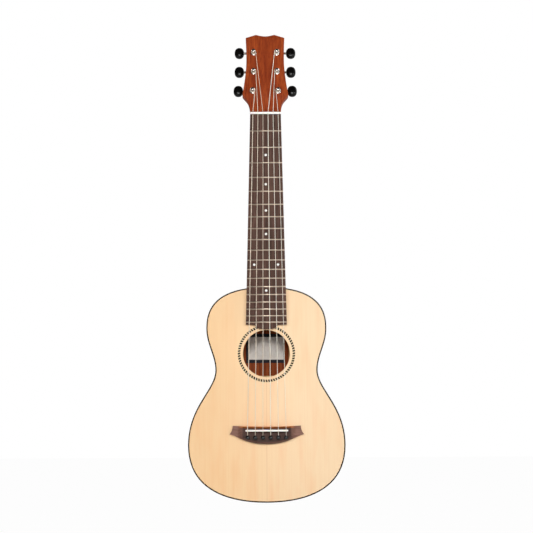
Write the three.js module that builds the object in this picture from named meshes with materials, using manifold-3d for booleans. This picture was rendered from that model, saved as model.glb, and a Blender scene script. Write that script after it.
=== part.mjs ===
// A small nylon-string travel guitar, built up from its separate pieces, in millimetres.
// +Z runs up the neck from the nut line and X from the bass side to the treble side.
// -Y is the front. Zero depth is the soundboard's face, which is also the fingerboard's seat.

import * as THREE from 'three';
import { mergeVertices } from 'three/addons/utils/BufferGeometryUtils.js';
import Module from 'manifold-3d';

const wasm = await Module();
wasm.setup();

// Fits shared by all pieces
const seatGap = 0.2;
const turnedSeatGap = 0.3;
const runningGap = 0.3;
const overrun = 20;

// Scale, frets and fingerboard
const scaleLength = 510;
const octaveFrets = 12;
const fretCount = 19;
const bodyFret = 14;
const nutWidth = 50;
const boardEndWidth = 65.5;
const boardThickness = 6;
const boardPastLastFret = 3.7;
const boardTongue = 7.4;
const tongueHalfShare = 0.515;
const tongueCuspShare = 0.36;
const tongueSideShare = 0.8;
const tongueRoundShare = 0.45;
const fretWidth = 2;
const fretHeight = 1;
const fretCrownShare = 0.5;

// Nut
const nutThickness = 3.4;
const nutCompensation = 0.9;
const nutRise = 2.8;
const nutSlotSide = 0.25;

// Strings, from the first, thin and treble, to the sixth
const stringDiameters = [0.71, 0.82, 1.02, 0.74, 0.89, 1.09];
const nutStringSpacing = 8.2;
const nutStringHeight = 2;
const saddleStringHeight = 12.5;
const windingTurns = 2.5;
const windingGap = 0.5;
const windingSteps = 12;
const windingSides = 5;
const ballEndRadius = 2;

// Neck and heel
const neckDepth = 20;
const neckHeelDepth = 22;
const neckFlat = 2;
const neckPastNut = 30;
const neckFlankSteps = 7;
const heelStart = 225;
const heelCapLength = 16;
const heelCapWidth = 24;
const heelCapThickness = 3;
const heelRings = 7;
const heelHollowPower = 1.6;
const tenonWidth = 22;
const tenonLength = 16;
const tenonDepthShare = 0.78;
const rodWidth = 6;
const rodHeight = 9;
const rodStart = 12;
const rodEnd = 268;
const rodNutLength = 12;

// Headstock
const headTilt = 12 * Math.PI / 180;
const headThickness = 13;
const headCorner = { half: 37.6, rise: 35.8 };
const headWaist = { half: 31.05, rise: 99 };
const headTop = { half: 32.15, rise: 139.9 };
const headPeak = { half: 15.1, rise: 145.6 };
const headDip = 2.9;
const flareNutShare = 0.77;
const flareCornerShares = { across: 0.55, up: 0.73 };
const headSideShares = { across: 0.49, up: 0.32 };
const headWaistShare = 0.68;
const headPeakShare = 0.4;

// Body outline
const bodyLength = 342.3;
const upperBoutWidth = 192.1;
const waistWidth = 163.1;
const lowerBoutWidth = 249.9;
const upperBoutShare = 0.194;
const waistShare = 0.39;
const lowerBoutShare = 0.735;
const shoulderHandleShares = [0.954, 0.335];
const upperWaistHandleShares = [0.387, 0.354];
const lowerWaistHandleShares = [0.261, 0.518];
const tailHandleShares = [0.824, 0.444];

// Body plates, rims and what stiffens them
const bodyDepthHeel = 72;
const bodyDepthTail = 78;
const topThickness = 2.5;
const backThickness = 2.5;
const sideThickness = 2;
const bindingWidth = 2;
const bindingDepth = 5;
const liningWidth = 6;
const liningDepth = 12;
const kerfWidth = 1.2;
const kerfShare = 0.65;
const heelBlockWidth = 62;
const heelBlockLength = 34;
const tailBlockWidth = 52;
const tailBlockLength = 14;
const soundholeRadius = 37.5;
const soundholePlace = 389.6;
const rosetteInner = 41.7;
const rosetteOuter = 45.9;
const rosetteDepth = 1.2;
const crossBar = { width: 8, height: 14 };
const crossBarToHole = 11;
const barEndClearance = 4;
const barTipShare = 1 / 3;
const barSlopeShare = 2;
const fan = { struts: 5, width: 4, height: 5.5 };
const fanNarrowShare = 0.6;
const fanTailClearance = 34;
const bridgePatchWidth = 132;
const bridgePatchLength = 32;
const bridgePatchThickness = 2.5;
const backBar = { width: 7, height: 13 };
const backBarShares = [0.13, 0.42, 0.74];
const centreStrip = { width: 15, thickness: 2 };
const labelWidth = 63;
const labelLength = 48;
const labelThickness = 0.3;
const labelAboveHole = 12.2;
const labelAside = 1.6;

// Bridge, saddle and pins
const bridgeTop = { half: 54, place: 504.4 };
const bridgeTopDip = 1.5;
const bridgeTip = { half: 59.2, place: 518.1 };
const bridgeBelly = 533.4;
const bridgeTipHandleShare = 0.16;
const bridgeBellyHandleShare = 0.61;
const bridgeHollowShare = 0.55;
const bridgeHeight = 8;
const bridgeWingHeight = 3.6;
const bridgeBlockHalf = 38;
const bridgeRampLength = 9;
const rampKneeShares = { across: 0.4, down: 0.7 };
const saddleLength = 67.8;
const saddleThickness = 3;
const saddleDepth = 4.5;
const saddleOffset = 2.2;
const saddleCrown = 0.8;
const pinSpacing = 12.2;
const pinToSaddle = 10.9;
const pinHeadRadius = 3.5;
const pinHeadHeight = 3.2;
const pinHeadShares = [[0.55, 0.9], [0.92, 0.5], [1, 0.2], [0.9, 0]];
const pinRadius = 2.2;
const pinTipRadius = 1.9;
const pinLength = 24;
const pinSlotReach = 5.9;
const pinSlotSide = 0.3;

// Tuning machines, one for each string
const postSpacing = 35;
const firstPost = 42;
const lowPostOffset = 20.8;
const upperPostOffset = 19.15;
const postRadius = 3;
const postWaistRadius = 2.6;
const postRise = 10;
const postWaistStart = 1.8;
const postWaistEnd = 7.6;
const postDome = 0.8;
const postHoleRadius = 0.9;
const bushingRadius = 5;
const bushingRise = 1.2;
const gearModule = 0.75;
const wheelTeeth = 14;
const wheelWidth = 4;
const wheelHubRadius = 4;
const wheelScrewRadius = 2.4;
const wheelScrewHeight = 1.4;
const wormPitchDiameter = 6.5;
const toothAddendumShare = 0.8;
const toothDedendumShare = 1;
const toothPressure = 20 * Math.PI / 180;
const toothBacklash = 0.32;
const wormHalfLength = 4.2;
const wormShaftRadius = 1.8;
const wormFacets = 10;
const wormSpareRidges = 2;
const wormStartShare = 1 / 4;
const wormToPlate = 0.35;
const plate = { thickness: 1.2, half: 9, below: 9, above: 14.5 };
const ear = { thickness: 1.6, half: 4 };
const wormTailLength = 1.4;
const buttonReach = 23.7;
const buttonSize = { width: 15.8, height: 19.6, thickness: 10.2 };
const buttonBoreDepth = 8;

// Places that follow from the sizes above
const fretPlace = (fret) => scaleLength * (1 - 2 ** (-fret / octaveFrets));
const bodyStart = fretPlace(bodyFret);
const bodyEnd = bodyStart + bodyLength;
const boardCorner = fretPlace(fretCount) + boardPastLastFret;
const boardEnd = boardCorner + boardTongue;
const boardTop = boardThickness;
const saddlePlace = scaleLength + saddleOffset;
const pinPlace = saddlePlace + pinToSaddle;
const heelDepth = bodyDepthHeel - heelCapThickness;
const tenonDepth = bodyDepthHeel * tenonDepthShare;
const stringRadii = stringDiameters.map((diameter) => diameter / 2);
const middleString = (stringDiameters.length - 1) / 2;
const thickestString = Math.max(...stringRadii);
const saddleTop = saddleStringHeight - thickestString - seatGap;
const wheelPitchRadius = gearModule * wheelTeeth / 2;
const wormPitchRadius = wormPitchDiameter / 2;
const wormAway = wheelPitchRadius + wormPitchRadius;
const toothAddendum = gearModule * toothAddendumShare;
const toothDedendum = gearModule * toothDedendumShare;
const toothPitch = Math.PI * gearModule;
const wormCrest = wormPitchRadius + toothAddendum;
const plateBack = headThickness + turnedSeatGap + plate.thickness;
const wormDepth = plateBack + wormToPlate + wormCrest;
const centre = (low, high) => (low + high) / 2;
const mix = (from, to, share) => from + (to - from) * share;

const boardHalf = (place) => mix(nutWidth, boardEndWidth, place / boardCorner) / 2;
const backOuter = (z) => mix(bodyDepthHeel, bodyDepthTail, (-z - bodyStart) / bodyLength);
const backInner = (z) => backOuter(z) - backThickness;

// Finishes
const finish = (color, roughness, metalness = 0) =>
  new THREE.MeshStandardMaterial({ color, roughness, metalness, flatShading: true });
const spruce = finish(0xf0d09c, 0.45);
const mahogany = finish(0x9a4a26, 0.5);
const darkMahogany = finish(0x7a3c22, 0.5);
const rosewood = finish(0x4a352b, 0.55);
const bindingWood = finish(0x33241d, 0.4);
const bone = finish(0xf2efe4, 0.35);
const inlay = finish(0xb7a98c, 0.5);
const paper = finish(0xc9bfa9, 0.85);
const blackPlastic = finish(0x151515, 0.25);
const chrome = finish(0xc8cacc, 0.2, 0.9);
const brass = finish(0xb9a46a, 0.3, 0.9);
const steel = finish(0x8d8f92, 0.4, 0.8);
const nylon = finish(0xe6e2d6, 0.3);

// Solids

// Closed triangles become a solid, turned outwards if they face in.
function solid(geometry) {
  const bare = geometry.clone();
  bare.deleteAttribute('normal');
  bare.deleteAttribute('uv');
  const merged = mergeVertices(bare);
  const points = merged.attributes.position;
  const triangles = Uint32Array.from(merged.index.array);
  const corner = (index) => new THREE.Vector3().fromBufferAttribute(points, index);
  let volume = 0;
  for (let i = 0; i < triangles.length; i += 3) {
    const across = corner(triangles[i + 1]).cross(corner(triangles[i + 2]));
    volume += corner(triangles[i]).dot(across);
  }
  if (volume < 0) triangles.reverse();
  return new wasm.Manifold(new wasm.Mesh({
    numProp: 3,
    vertProperties: Float32Array.from(points.array),
    triVerts: triangles,
  }));
}

function geometryOf(shape) {
  const mesh = shape.getMesh();
  const geometry = new THREE.BufferGeometry();
  geometry.setAttribute('position', new THREE.BufferAttribute(Float32Array.from(mesh.vertProperties), 3));
  geometry.setIndex(new THREE.BufferAttribute(Uint32Array.from(mesh.triVerts), 1));
  return geometry;
}

const united = (parts) => parts.reduce((sum, part) => sum.add(part));
const without = (base, cuts) => cuts.reduce((rest, cut) => rest.subtract(cut), base);

// Moves every point of a geometry to the place that a rule gives it.
function reshape(geometry, rule) {
  const points = geometry.attributes.position;
  for (let i = 0; i < points.count; i++) {
    const [x, y, z] = rule(points.getX(i), points.getY(i), points.getZ(i));
    points.setXYZ(i, x, y, z);
  }
  return geometry;
}

const unitExtrusion = (shape, curveSegments) =>
  new THREE.ExtrudeGeometry(shape, { depth: 1, bevelEnabled: false, curveSegments });
const depthAt = (surface, z) => (typeof surface === 'function' ? surface(z) : surface);

// An outline in X and Z, filled from a front surface to a back surface.
function slab(shape, front, back, curveSegments = 6) {
  return solid(reshape(unitExtrusion(shape, curveSegments), (x, z, share) =>
    [x, mix(depthAt(back, z), depthAt(front, z), share), z]));
}

// A profile in Y and Z, filled from one X to another.
function spanAcross(shape, from, to) {
  return solid(reshape(unitExtrusion(shape, 3), (y, z, share) => [mix(from, to, share), y, z]));
}

// A profile in X and Y, filled from one Z to another.
function spanAlong(shape, from, to) {
  return solid(reshape(unitExtrusion(shape, 4), (x, y, share) => [x, y, mix(from, to, share)]));
}

function block([x0, x1], [y0, y1], [z0, z1]) {
  const geometry = new THREE.BoxGeometry(x1 - x0, y1 - y0, z1 - z0);
  return solid(geometry.translate(centre(x0, x1), centre(y0, y1), centre(z0, z1)));
}

// A round bar along the depth, at one X and Z.
function dowel(x, z, radius, front, back, facets) {
  const geometry = new THREE.CylinderGeometry(radius, radius, back - front, facets);
  return solid(geometry.translate(x, centre(front, back), z));
}

// A round bar across the head.
function shaft(from, to, y, z, radius, facets) {
  const geometry = new THREE.CylinderGeometry(radius, radius, to - from, facets).rotateZ(Math.PI / 2);
  return solid(geometry.translate(centre(from, to), y, z));
}

const polygon = (points) => new THREE.Shape(points.map(([u, v]) => new THREE.Vector2(u, v)));
const rectangle = (u0, u1, v0, v1) => polygon([[u0, v0], [u1, v0], [u1, v1], [u0, v1]]);
const turned = (profile, facets) =>
  new THREE.LatheGeometry(profile.map(([radius, y]) => new THREE.Vector2(radius, y)), facets);

// Skins a row of rings, each with as many points, and closes both ends.
function loft(rings) {
  const width = rings[0].length;
  const points = rings.flat();
  const triangles = [];
  for (let row = 0; row + 1 < rings.length; row++) {
    for (let i = 0; i < width; i++) {
      const next = (i + 1) % width;
      const [a, b] = [row * width + i, row * width + next];
      triangles.push(a, b, b + width, a, b + width, a + width);
    }
  }
  const last = (rings.length - 1) * width;
  for (let i = 1; i + 1 < width; i++) {
    triangles.push(0, i + 1, i, last, last + i, last + i + 1);
  }
  const geometry = new THREE.BufferGeometry();
  geometry.setAttribute('position', new THREE.Float32BufferAttribute(points.flat(), 3));
  geometry.setIndex(triangles);
  return solid(geometry);
}

// Body outline

// The right half of the outline, from the neck to the tail, drawn in by an inset.
function halfOutline(inset) {
  const rows = [
    [0, 0],
    [upperBoutWidth / 2, upperBoutShare * bodyLength],
    [waistWidth / 2, waistShare * bodyLength],
    [lowerBoutWidth / 2, lowerBoutShare * bodyLength],
    [0, bodyLength],
  ].map(([x, down]) => new THREE.Vector2(x, -bodyStart - down));
  const [neckEnd, upperBout, waist, lowerBout, tail] = rows;
  const quarter = (from, fromHandle, toHandle, to) =>
    new THREE.CubicBezierCurve(from, from.clone().add(fromHandle), to.clone().add(toHandle), to);
  const handle = (x, z) => new THREE.Vector2(x, z);
  const shoulder = neckEnd.y - upperBout.y;
  const upperWaist = upperBout.y - waist.y;
  const lowerWaist = waist.y - lowerBout.y;
  const bottom = lowerBout.y - tail.y;
  const curves = [
    [quarter(neckEnd, handle(shoulderHandleShares[0] * upperBout.x, 0),
      handle(0, shoulderHandleShares[1] * shoulder), upperBout), 9],
    [quarter(upperBout, handle(0, -upperWaistHandleShares[0] * upperWaist),
      handle(0, upperWaistHandleShares[1] * upperWaist), waist), 6],
    [quarter(waist, handle(0, -lowerWaistHandleShares[0] * lowerWaist),
      handle(0, lowerWaistHandleShares[1] * lowerWaist), lowerBout), 7],
    [quarter(lowerBout, handle(0, -tailHandleShares[0] * bottom),
      handle(tailHandleShares[1] * lowerBout.x, 0), tail), 10],
  ];
  const points = [];
  for (const [curve, steps] of curves) {
    for (let i = points.length ? 1 : 0; i <= steps; i++) {
      const inward = curve.getTangent(i / steps).rotateAround(new THREE.Vector2(), -Math.PI / 2);
      points.push(curve.getPoint(i / steps).addScaledVector(inward, inset));
    }
  }
  points[0].x = 0;
  points[points.length - 1].x = 0;
  return points;
}

// The whole outline, counter-clockwise as seen from the front.
function outline(inset) {
  const right = halfOutline(inset);
  const left = right.slice(1, -1).map((point) => new THREE.Vector2(-point.x, point.y));
  return [...left, ...right.reverse()];
}

const outlineShape = (inset) => new THREE.Shape(outline(inset));

function rim(outerInset, innerInset) {
  const shape = new THREE.Shape(outline(outerInset));
  shape.holes.push(new THREE.Path(outline(innerInset)));
  return shape;
}

// Half of the outline's width at a place, drawn in by an inset.
function halfWidthAt(place, inset) {
  const points = halfOutline(inset);
  const next = points.findIndex((point) => -point.y >= place);
  const [above, below] = [points[next - 1], points[next]];
  return mix(above.x, below.x, (place + above.y) / (above.y - below.y));
}

const halfSpace = (side, from) => {
  const far = lowerBoutWidth;
  const across = side > 0 ? [from, far] : [-far, -from];
  return block(across, [-overrun, bodyDepthTail + overrun], [-bodyEnd - overrun, overrun]);
};

// Body pieces

function makeSoundboard() {
  const shape = outlineShape(bindingWidth + seatGap);
  const hole = new THREE.Path();
  hole.absarc(0, -soundholePlace, soundholeRadius, 0, 2 * Math.PI, true);
  shape.holes.push(hole);
  const board = slab(shape, 0, topThickness, 18);
  const channel = slab(ringShape(rosetteInner - seatGap, rosetteOuter + seatGap), -overrun, rosetteDepth, 18);
  return without(board, [channel, ...pinHoles()]);
}

function ringShape(inner, outer) {
  const shape = new THREE.Shape();
  shape.absarc(0, -soundholePlace, outer, 0, 2 * Math.PI, false);
  const hole = new THREE.Path();
  hole.absarc(0, -soundholePlace, inner, 0, 2 * Math.PI, true);
  shape.holes.push(hole);
  return shape;
}

const makeRosette = () => slab(ringShape(rosetteInner, rosetteOuter), 0, rosetteDepth, 18);
const makeBackPlate = () => slab(outlineShape(0), backInner, backOuter);
const makeTopBinding = () => slab(rim(0, bindingWidth), 0, bindingDepth);

// One bent side, from the neck's tenon round to the tail seam.
function makeSide(side) {
  const whole = slab(rim(0, sideThickness), bindingDepth, (z) => backInner(z) - seatGap);
  const half = whole.intersect(halfSpace(side, seatGap / 2));
  const slot = tenonWidth / 2 + seatGap;
  return half.subtract(block([-slot, slot], [-overrun, bodyDepthTail], [-bodyStart - overrun, overrun]));
}

// A kerfed lining strip, glued along one side from the heel block to the tail block.
function makeLining(side, front, back) {
  const outerInset = sideThickness + seatGap;
  const outer = halfOutline(outerInset);
  const inner = halfOutline(outerInset + liningWidth);
  const slots = [];
  for (let i = 0; i < inner.length; i++) {
    slots.push(inner[i]);
    if (i % 3 !== 1 || i + 1 === inner.length) continue;
    const along = inner[i + 1].clone().sub(inner[i]);
    const middle = inner[i].clone().addScaledVector(along, 1 / 2);
    const halfSlot = along.normalize().multiplyScalar(kerfWidth / 2);
    const floor = mixPoints(outer[i], outer[i + 1], 1 / 2).sub(middle).multiplyScalar(kerfShare);
    slots.push(middle.clone().sub(halfSlot), middle.clone().sub(halfSlot).add(floor));
    slots.push(middle.clone().add(halfSlot).add(floor), middle.clone().add(halfSlot));
  }
  const shape = new THREE.Shape([...outer, ...slots.reverse()]
    .map((point) => new THREE.Vector2(side * point.x, point.y)));
  const strip = slab(shape, front, back);
  const heelHalf = heelBlockWidth / 2 + seatGap;
  const tailHalf = tailBlockWidth / 2 + seatGap;
  const middleOfBody = -bodyStart - bodyLength / 2;
  const depth = [-overrun, bodyDepthTail];
  return without(strip, [
    block([-heelHalf, heelHalf], depth, [middleOfBody, overrun]),
    block([-tailHalf, tailHalf], depth, [-bodyEnd - overrun, middleOfBody]),
  ]);
}

const mixPoints = (from, to, share) => from.clone().lerp(to, share);

const makeTopLining = (side) => makeLining(side, topThickness, topThickness + liningDepth);
const makeBackLining = (side) =>
  makeLining(side, (z) => backInner(z) - seatGap - liningDepth, (z) => backInner(z) - seatGap);

// A block that fills the end of the body behind the side's curve.
function endBlock(width, from, to) {
  const fill = slab(outlineShape(sideThickness + seatGap), topThickness, (z) => backInner(z) - seatGap);
  return fill.intersect(block([-width / 2, width / 2], [0, bodyDepthTail], [-to, -from]));
}

function makeHeelBlock() {
  const mortise = tenonWidth / 2 + seatGap;
  return endBlock(heelBlockWidth, bodyStart, bodyStart + heelBlockLength).subtract(
    block([-mortise, mortise], [0, tenonDepth + seatGap], [-bodyStart - tenonLength - seatGap, 0]));
}

const makeTailBlock = () => endBlock(tailBlockWidth, bodyEnd - tailBlockLength - sideThickness, bodyEnd);

// A bar glued under the top, with its ends cut away to a thin tongue.
function scallopedBar(place, width, front, height) {
  const half = halfWidthAt(place, sideThickness + liningWidth + barEndClearance);
  const tip = height * barTipShare;
  const shoulderHalf = half - height * barSlopeShare;
  const shape = polygon([
    [-half, front], [half, front], [half, front + tip], [shoulderHalf, front + height],
    [-shoulderHalf, front + height], [-half, front + tip],
  ]);
  return spanAlong(shape, -place - width / 2, -place + width / 2);
}

const upperBarPlace = soundholePlace - rosetteOuter - crossBarToHole + crossBar.width;
const lowerBarPlace = soundholePlace + rosetteOuter + crossBarToHole;

const makeUpperBar = () => scallopedBar(upperBarPlace, crossBar.width, topThickness, crossBar.height);

// The lower bar, the bridge patch and the fan of struts that cross it, glued into one lattice.
function makeTopBracing() {
  const bar = scallopedBar(lowerBarPlace, crossBar.width, topThickness, crossBar.height);
  const patch = block([-bridgePatchWidth / 2, bridgePatchWidth / 2],
    [topThickness, topThickness + bridgePatchThickness],
    [-pinPlace - bridgePatchLength / 2, -pinPlace + bridgePatchLength / 2]);
  const fanEnd = bodyEnd - fanTailClearance;
  const struts = [];
  for (let i = 0; i < fan.struts; i++) {
    const atPins = (i - (fan.struts - 1) / 2) * 2 * pinSpacing;
    const atBar = atPins * fanNarrowShare;
    const slope = (atPins - atBar) / (pinPlace - lowerBarPlace);
    const atEnd = atPins + slope * (fanEnd - pinPlace);
    const shape = polygon([
      [atBar - fan.width / 2, -lowerBarPlace], [atBar + fan.width / 2, -lowerBarPlace],
      [atEnd + fan.width / 2, -fanEnd], [atEnd - fan.width / 2, -fanEnd],
    ]);
    struts.push(slab(shape, topThickness, topThickness + fan.height));
  }
  return without(united([bar, patch, ...struts]), pinHoles());
}

const labelPlace = soundholePlace - labelAboveHole;
const barToLabel = labelLength / 2 + barEndClearance + backBar.width / 2;
const [upperShare, middleShare, lowerShare] = backBarShares;
const backBarPlaces = [
  Math.min(bodyStart + upperShare * bodyLength, labelPlace - barToLabel),
  Math.max(bodyStart + middleShare * bodyLength, labelPlace + barToLabel),
  bodyStart + lowerShare * bodyLength,
];

// A flat piece glued to the inside of the back.
const onBack = (shape, thickness) => slab(shape,
  (z) => backInner(z) - seatGap - thickness, (z) => backInner(z) - seatGap);

// Bars across the back, joined by the strip over the back's centre seam, which parts round the label.
function makeBackBracing() {
  const bars = backBarPlaces.map((place) => {
    const half = halfWidthAt(place, sideThickness + liningWidth + barEndClearance);
    return onBack(rectangle(-half, half, -place - backBar.width / 2, -place + backBar.width / 2),
      backBar.height);
  });
  const strip = (middle, from, to) => onBack(
    rectangle(middle - centreStrip.width / 2, middle + centreStrip.width / 2, -to, -from),
    centreStrip.thickness);
  const [upper, middle] = backBarPlaces;
  const besideLabel = labelWidth / 2 + labelAside + barEndClearance + centreStrip.width / 2;
  return united([
    ...bars,
    strip(0, bodyStart + heelBlockLength + barEndClearance, upper),
    strip(-besideLabel, upper, middle),
    strip(besideLabel, upper, middle),
    strip(0, middle, bodyEnd - tailBlockLength - sideThickness - barEndClearance),
  ]);
}

// The label, a little to the bass side of the centre line.
function makeLabel() {
  const left = -labelAside - labelWidth / 2;
  return onBack(rectangle(left, left + labelWidth,
    -labelPlace - labelLength / 2, -labelPlace + labelLength / 2), labelThickness);
}

// Neck, head and fingerboard

// Steps of a quarter circle, which lie closer together towards its end.
const quarterShare = (share) => Math.sin(share * Math.PI / 2);

// The neck's section at a place: round under the fingerboard, drawn out into the heel's keel.
function neckRing(place) {
  const heelRun = bodyStart - heelCapLength - heelStart;
  const share = THREE.MathUtils.clamp((place - heelStart) / heelRun, 0, 1);
  const half = boardHalf(Math.max(place, 0));
  const shaftDepth = mix(neckDepth, neckHeelDepth, Math.min(Math.max(place, 0) / heelStart, 1));
  const depth = mix(shaftDepth, heelDepth, 1 - Math.sqrt(1 - share ** 2));
  const keel = mix(neckFlat, heelCapWidth, share) / 2;
  const flank = [];
  for (let i = 0; i <= neckFlankSteps; i++) {
    const down = quarterShare(i / neckFlankSteps);
    const round = Math.sqrt(1 - down ** 2);
    const hollow = (1 - down) ** heelHollowPower;
    flank.push([keel + (half - keel) * mix(round, hollow, share), depth * down]);
  }
  const right = flank.map(([x, y]) => [x, y, -place]);
  const left = flank.map(([x, y]) => [-x, y, -place]).reverse();
  return [...right, ...left];
}

function headShape() {
  const right = new THREE.Shape();
  const half = nutWidth / 2;
  const { half: cornerHalf, rise: cornerRise } = headCorner;
  right.moveTo(0, 0);
  right.lineTo(half, 0);
  right.bezierCurveTo(half, cornerRise * flareNutShare,
    mix(half, cornerHalf, flareCornerShares.across), cornerRise * flareCornerShares.up,
    cornerHalf, cornerRise);
  right.bezierCurveTo(mix(cornerHalf, headWaist.half, headSideShares.across),
    mix(cornerRise, headWaist.rise, headSideShares.up),
    headWaist.half, mix(cornerRise, headWaist.rise, headWaistShare), headWaist.half, headWaist.rise);
  right.quadraticCurveTo(headWaist.half, centre(headWaist.rise, headTop.rise),
    headTop.half, headTop.rise);
  right.lineTo(headPeak.half, headPeak.rise);
  right.quadraticCurveTo(headPeak.half * headPeakShare, headPeak.rise - headDip,
    0, headPeak.rise - headDip);
  const points = right.getPoints(6);
  const left = points.slice(2, -1).reverse().map((point) => new THREE.Vector2(-point.x, point.y));
  return new THREE.Shape([...points.slice(1), ...left]);
}

// The head in its own flat frame: front face at zero depth, rising from the nut line.
function makeHead() {
  const board = slab(headShape(), 0, headThickness);
  const bushings = posts.map(({ x, rise }) =>
    dowel(x, rise, bushingRadius, -bushingRise, headThickness / 2, 10));
  const bores = posts.map(({ x, rise }) =>
    dowel(x, rise, postRadius + runningGap, -overrun, headThickness + overrun, 10));
  return without(united([board, ...bushings]), bores);
}

function makeNeck() {
  const places = [-neckPastNut, 0];
  for (let i = 0; i <= heelRings; i++) {
    places.push(mix(heelStart, bodyStart - heelCapLength, quarterShare(i / heelRings)));
  }
  places.push(bodyStart + heelCapLength);
  const blank = loft(places.map(neckRing));
  const lift = (nutThickness - nutCompensation) / Math.cos(headTilt);
  const overHead = block([-overrun - nutWidth, overrun + nutWidth], [-2 * overrun, 0],
    [lift, neckPastNut + overrun]);
  const shaftPart = without(blank, [
    solid(geometryOf(overHead).rotateX(-headTilt)),
    slab(outlineShape(-seatGap), -overrun, bodyDepthTail + overrun),
    block([-rodWidth / 2 - seatGap, rodWidth / 2 + seatGap], [-overrun, rodHeight + seatGap],
      [-rodEnd - seatGap, -rodStart + seatGap]),
  ]);
  const head = solid(geometryOf(makeHead()).rotateX(-headTilt));
  const tenon = block([-tenonWidth / 2, tenonWidth / 2], [bindingDepth + seatGap, tenonDepth],
    [-bodyStart - tenonLength, -bodyStart + heelCapLength / 4]);
  return united([shaftPart, head, tenon]);
}

// A cap glued over the keel's end.
function makeHeelCap() {
  const half = heelCapWidth / 2;
  const shape = rectangle(-half, half, -bodyStart + seatGap, -bodyStart + heelCapLength);
  return slab(shape, heelDepth, heelDepth + heelCapThickness);
}

function makeTrussRod() {
  const half = rodWidth / 2;
  const bar = block([-half, half], [0, rodHeight], [-rodEnd + rodNutLength, -rodStart]);
  const nutSeat = block([-half, half], [half / 2, rodHeight - half / 2], [-rodEnd, -rodEnd + rodNutLength]);
  return bar.add(nutSeat);
}

// The board's outline ends in a hollow sweep from each corner and a rounded tongue between.
function boardShape() {
  const end = boardHalf(boardCorner);
  const cusp = end * tongueHalfShare;
  const cuspPlace = boardCorner + boardTongue * tongueCuspShare;
  const shape = new THREE.Shape();
  shape.moveTo(-nutWidth / 2, -nutCompensation);
  shape.lineTo(-end, -boardCorner);
  shape.quadraticCurveTo(-cusp, -boardCorner, -cusp, -cuspPlace);
  const [side, round] = [cusp * tongueSideShare, cusp * tongueRoundShare];
  shape.bezierCurveTo(-side, -boardEnd, -round, -boardEnd, 0, -boardEnd);
  shape.bezierCurveTo(round, -boardEnd, side, -boardEnd, cusp, -cuspPlace);
  shape.quadraticCurveTo(cusp, -boardCorner, end, -boardCorner);
  shape.lineTo(nutWidth / 2, -nutCompensation);
  return shape;
}

// The board with a crown for every fret, cut from one long profile.
function makeFingerboard() {
  const profile = [[0, 0], [-boardTop, 0]];
  for (let fret = 1; fret <= fretCount; fret++) {
    const place = -fretPlace(fret);
    const crown = fretWidth * fretCrownShare;
    profile.push([-boardTop, place + fretWidth / 2], [-boardTop - fretHeight, place + crown / 2]);
    profile.push([-boardTop - fretHeight, place - crown / 2], [-boardTop, place - fretWidth / 2]);
  }
  profile.push([-boardTop, -boardEnd - overrun], [0, -boardEnd - overrun]);
  const strip = spanAcross(polygon(profile), -boardEndWidth, boardEndWidth);
  return strip.intersect(slab(boardShape(), -boardTop - overrun, 0));
}

const nutStringPlace = (index) => (middleString - index) * nutStringSpacing;
const saddleStringPlace = (index) => (middleString - index) * pinSpacing;

function makeNut() {
  const top = -boardTop - nutRise;
  const half = nutWidth / 2;
  const bar = block([-half, half], [top, 0], [-nutCompensation, nutThickness - nutCompensation]);
  const slots = stringRadii.map((radius, index) => {
    const x = nutStringPlace(index);
    const floor = -boardTop - nutStringHeight + radius + seatGap;
    const side = radius + nutSlotSide;
    return block([x - side, x + side], [top - overrun, floor], [-overrun, overrun]);
  });
  return without(bar, slots);
}

// Bridge

function bridgeShape() {
  const shape = new THREE.Shape();
  const { half: topHalf, place: topPlace } = bridgeTop;
  const { half: tipHalf, place: tipPlace } = bridgeTip;
  const hollow = mix(topPlace, tipPlace, bridgeHollowShare);
  shape.moveTo(0, -topPlace - bridgeTopDip);
  shape.quadraticCurveTo(topHalf / 2, -topPlace - bridgeTopDip, topHalf, -topPlace);
  shape.quadraticCurveTo(topHalf, -hollow, tipHalf, -tipPlace);
  shape.bezierCurveTo(tipHalf * (1 - bridgeTipHandleShare), -tipPlace,
    tipHalf * bridgeBellyHandleShare, -bridgeBelly, 0, -bridgeBelly);
  shape.bezierCurveTo(-tipHalf * bridgeBellyHandleShare, -bridgeBelly,
    -tipHalf * (1 - bridgeTipHandleShare), -tipPlace, -tipHalf, -tipPlace);
  shape.quadraticCurveTo(-topHalf, -hollow, -topHalf, -topPlace);
  shape.quadraticCurveTo(-topHalf / 2, -topPlace - bridgeTopDip, 0, -topPlace - bridgeTopDip);
  return shape;
}

// A round hole for each pin, with a slot in front of it for the string.
function pinHoles() {
  const cuts = [];
  for (const index of stringRadii.keys()) {
    const x = saddleStringPlace(index);
    cuts.push(dowel(x, -pinPlace, pinRadius + seatGap, -overrun, overrun, 10));
    const side = stringRadii[index] + pinSlotSide;
    const reach = pinRadius + 2 * (stringRadii[index] + pinSlotSide);
    cuts.push(block([x - side, x + side], [-overrun, overrun], [-pinPlace, -pinPlace + reach]));
    cuts.push(block([x - side, x + side], [-bridgeHeight - overrun, -bridgeHeight / 2],
      [-pinPlace, -pinPlace + pinSlotReach]));
  }
  return cuts;
}

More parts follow.
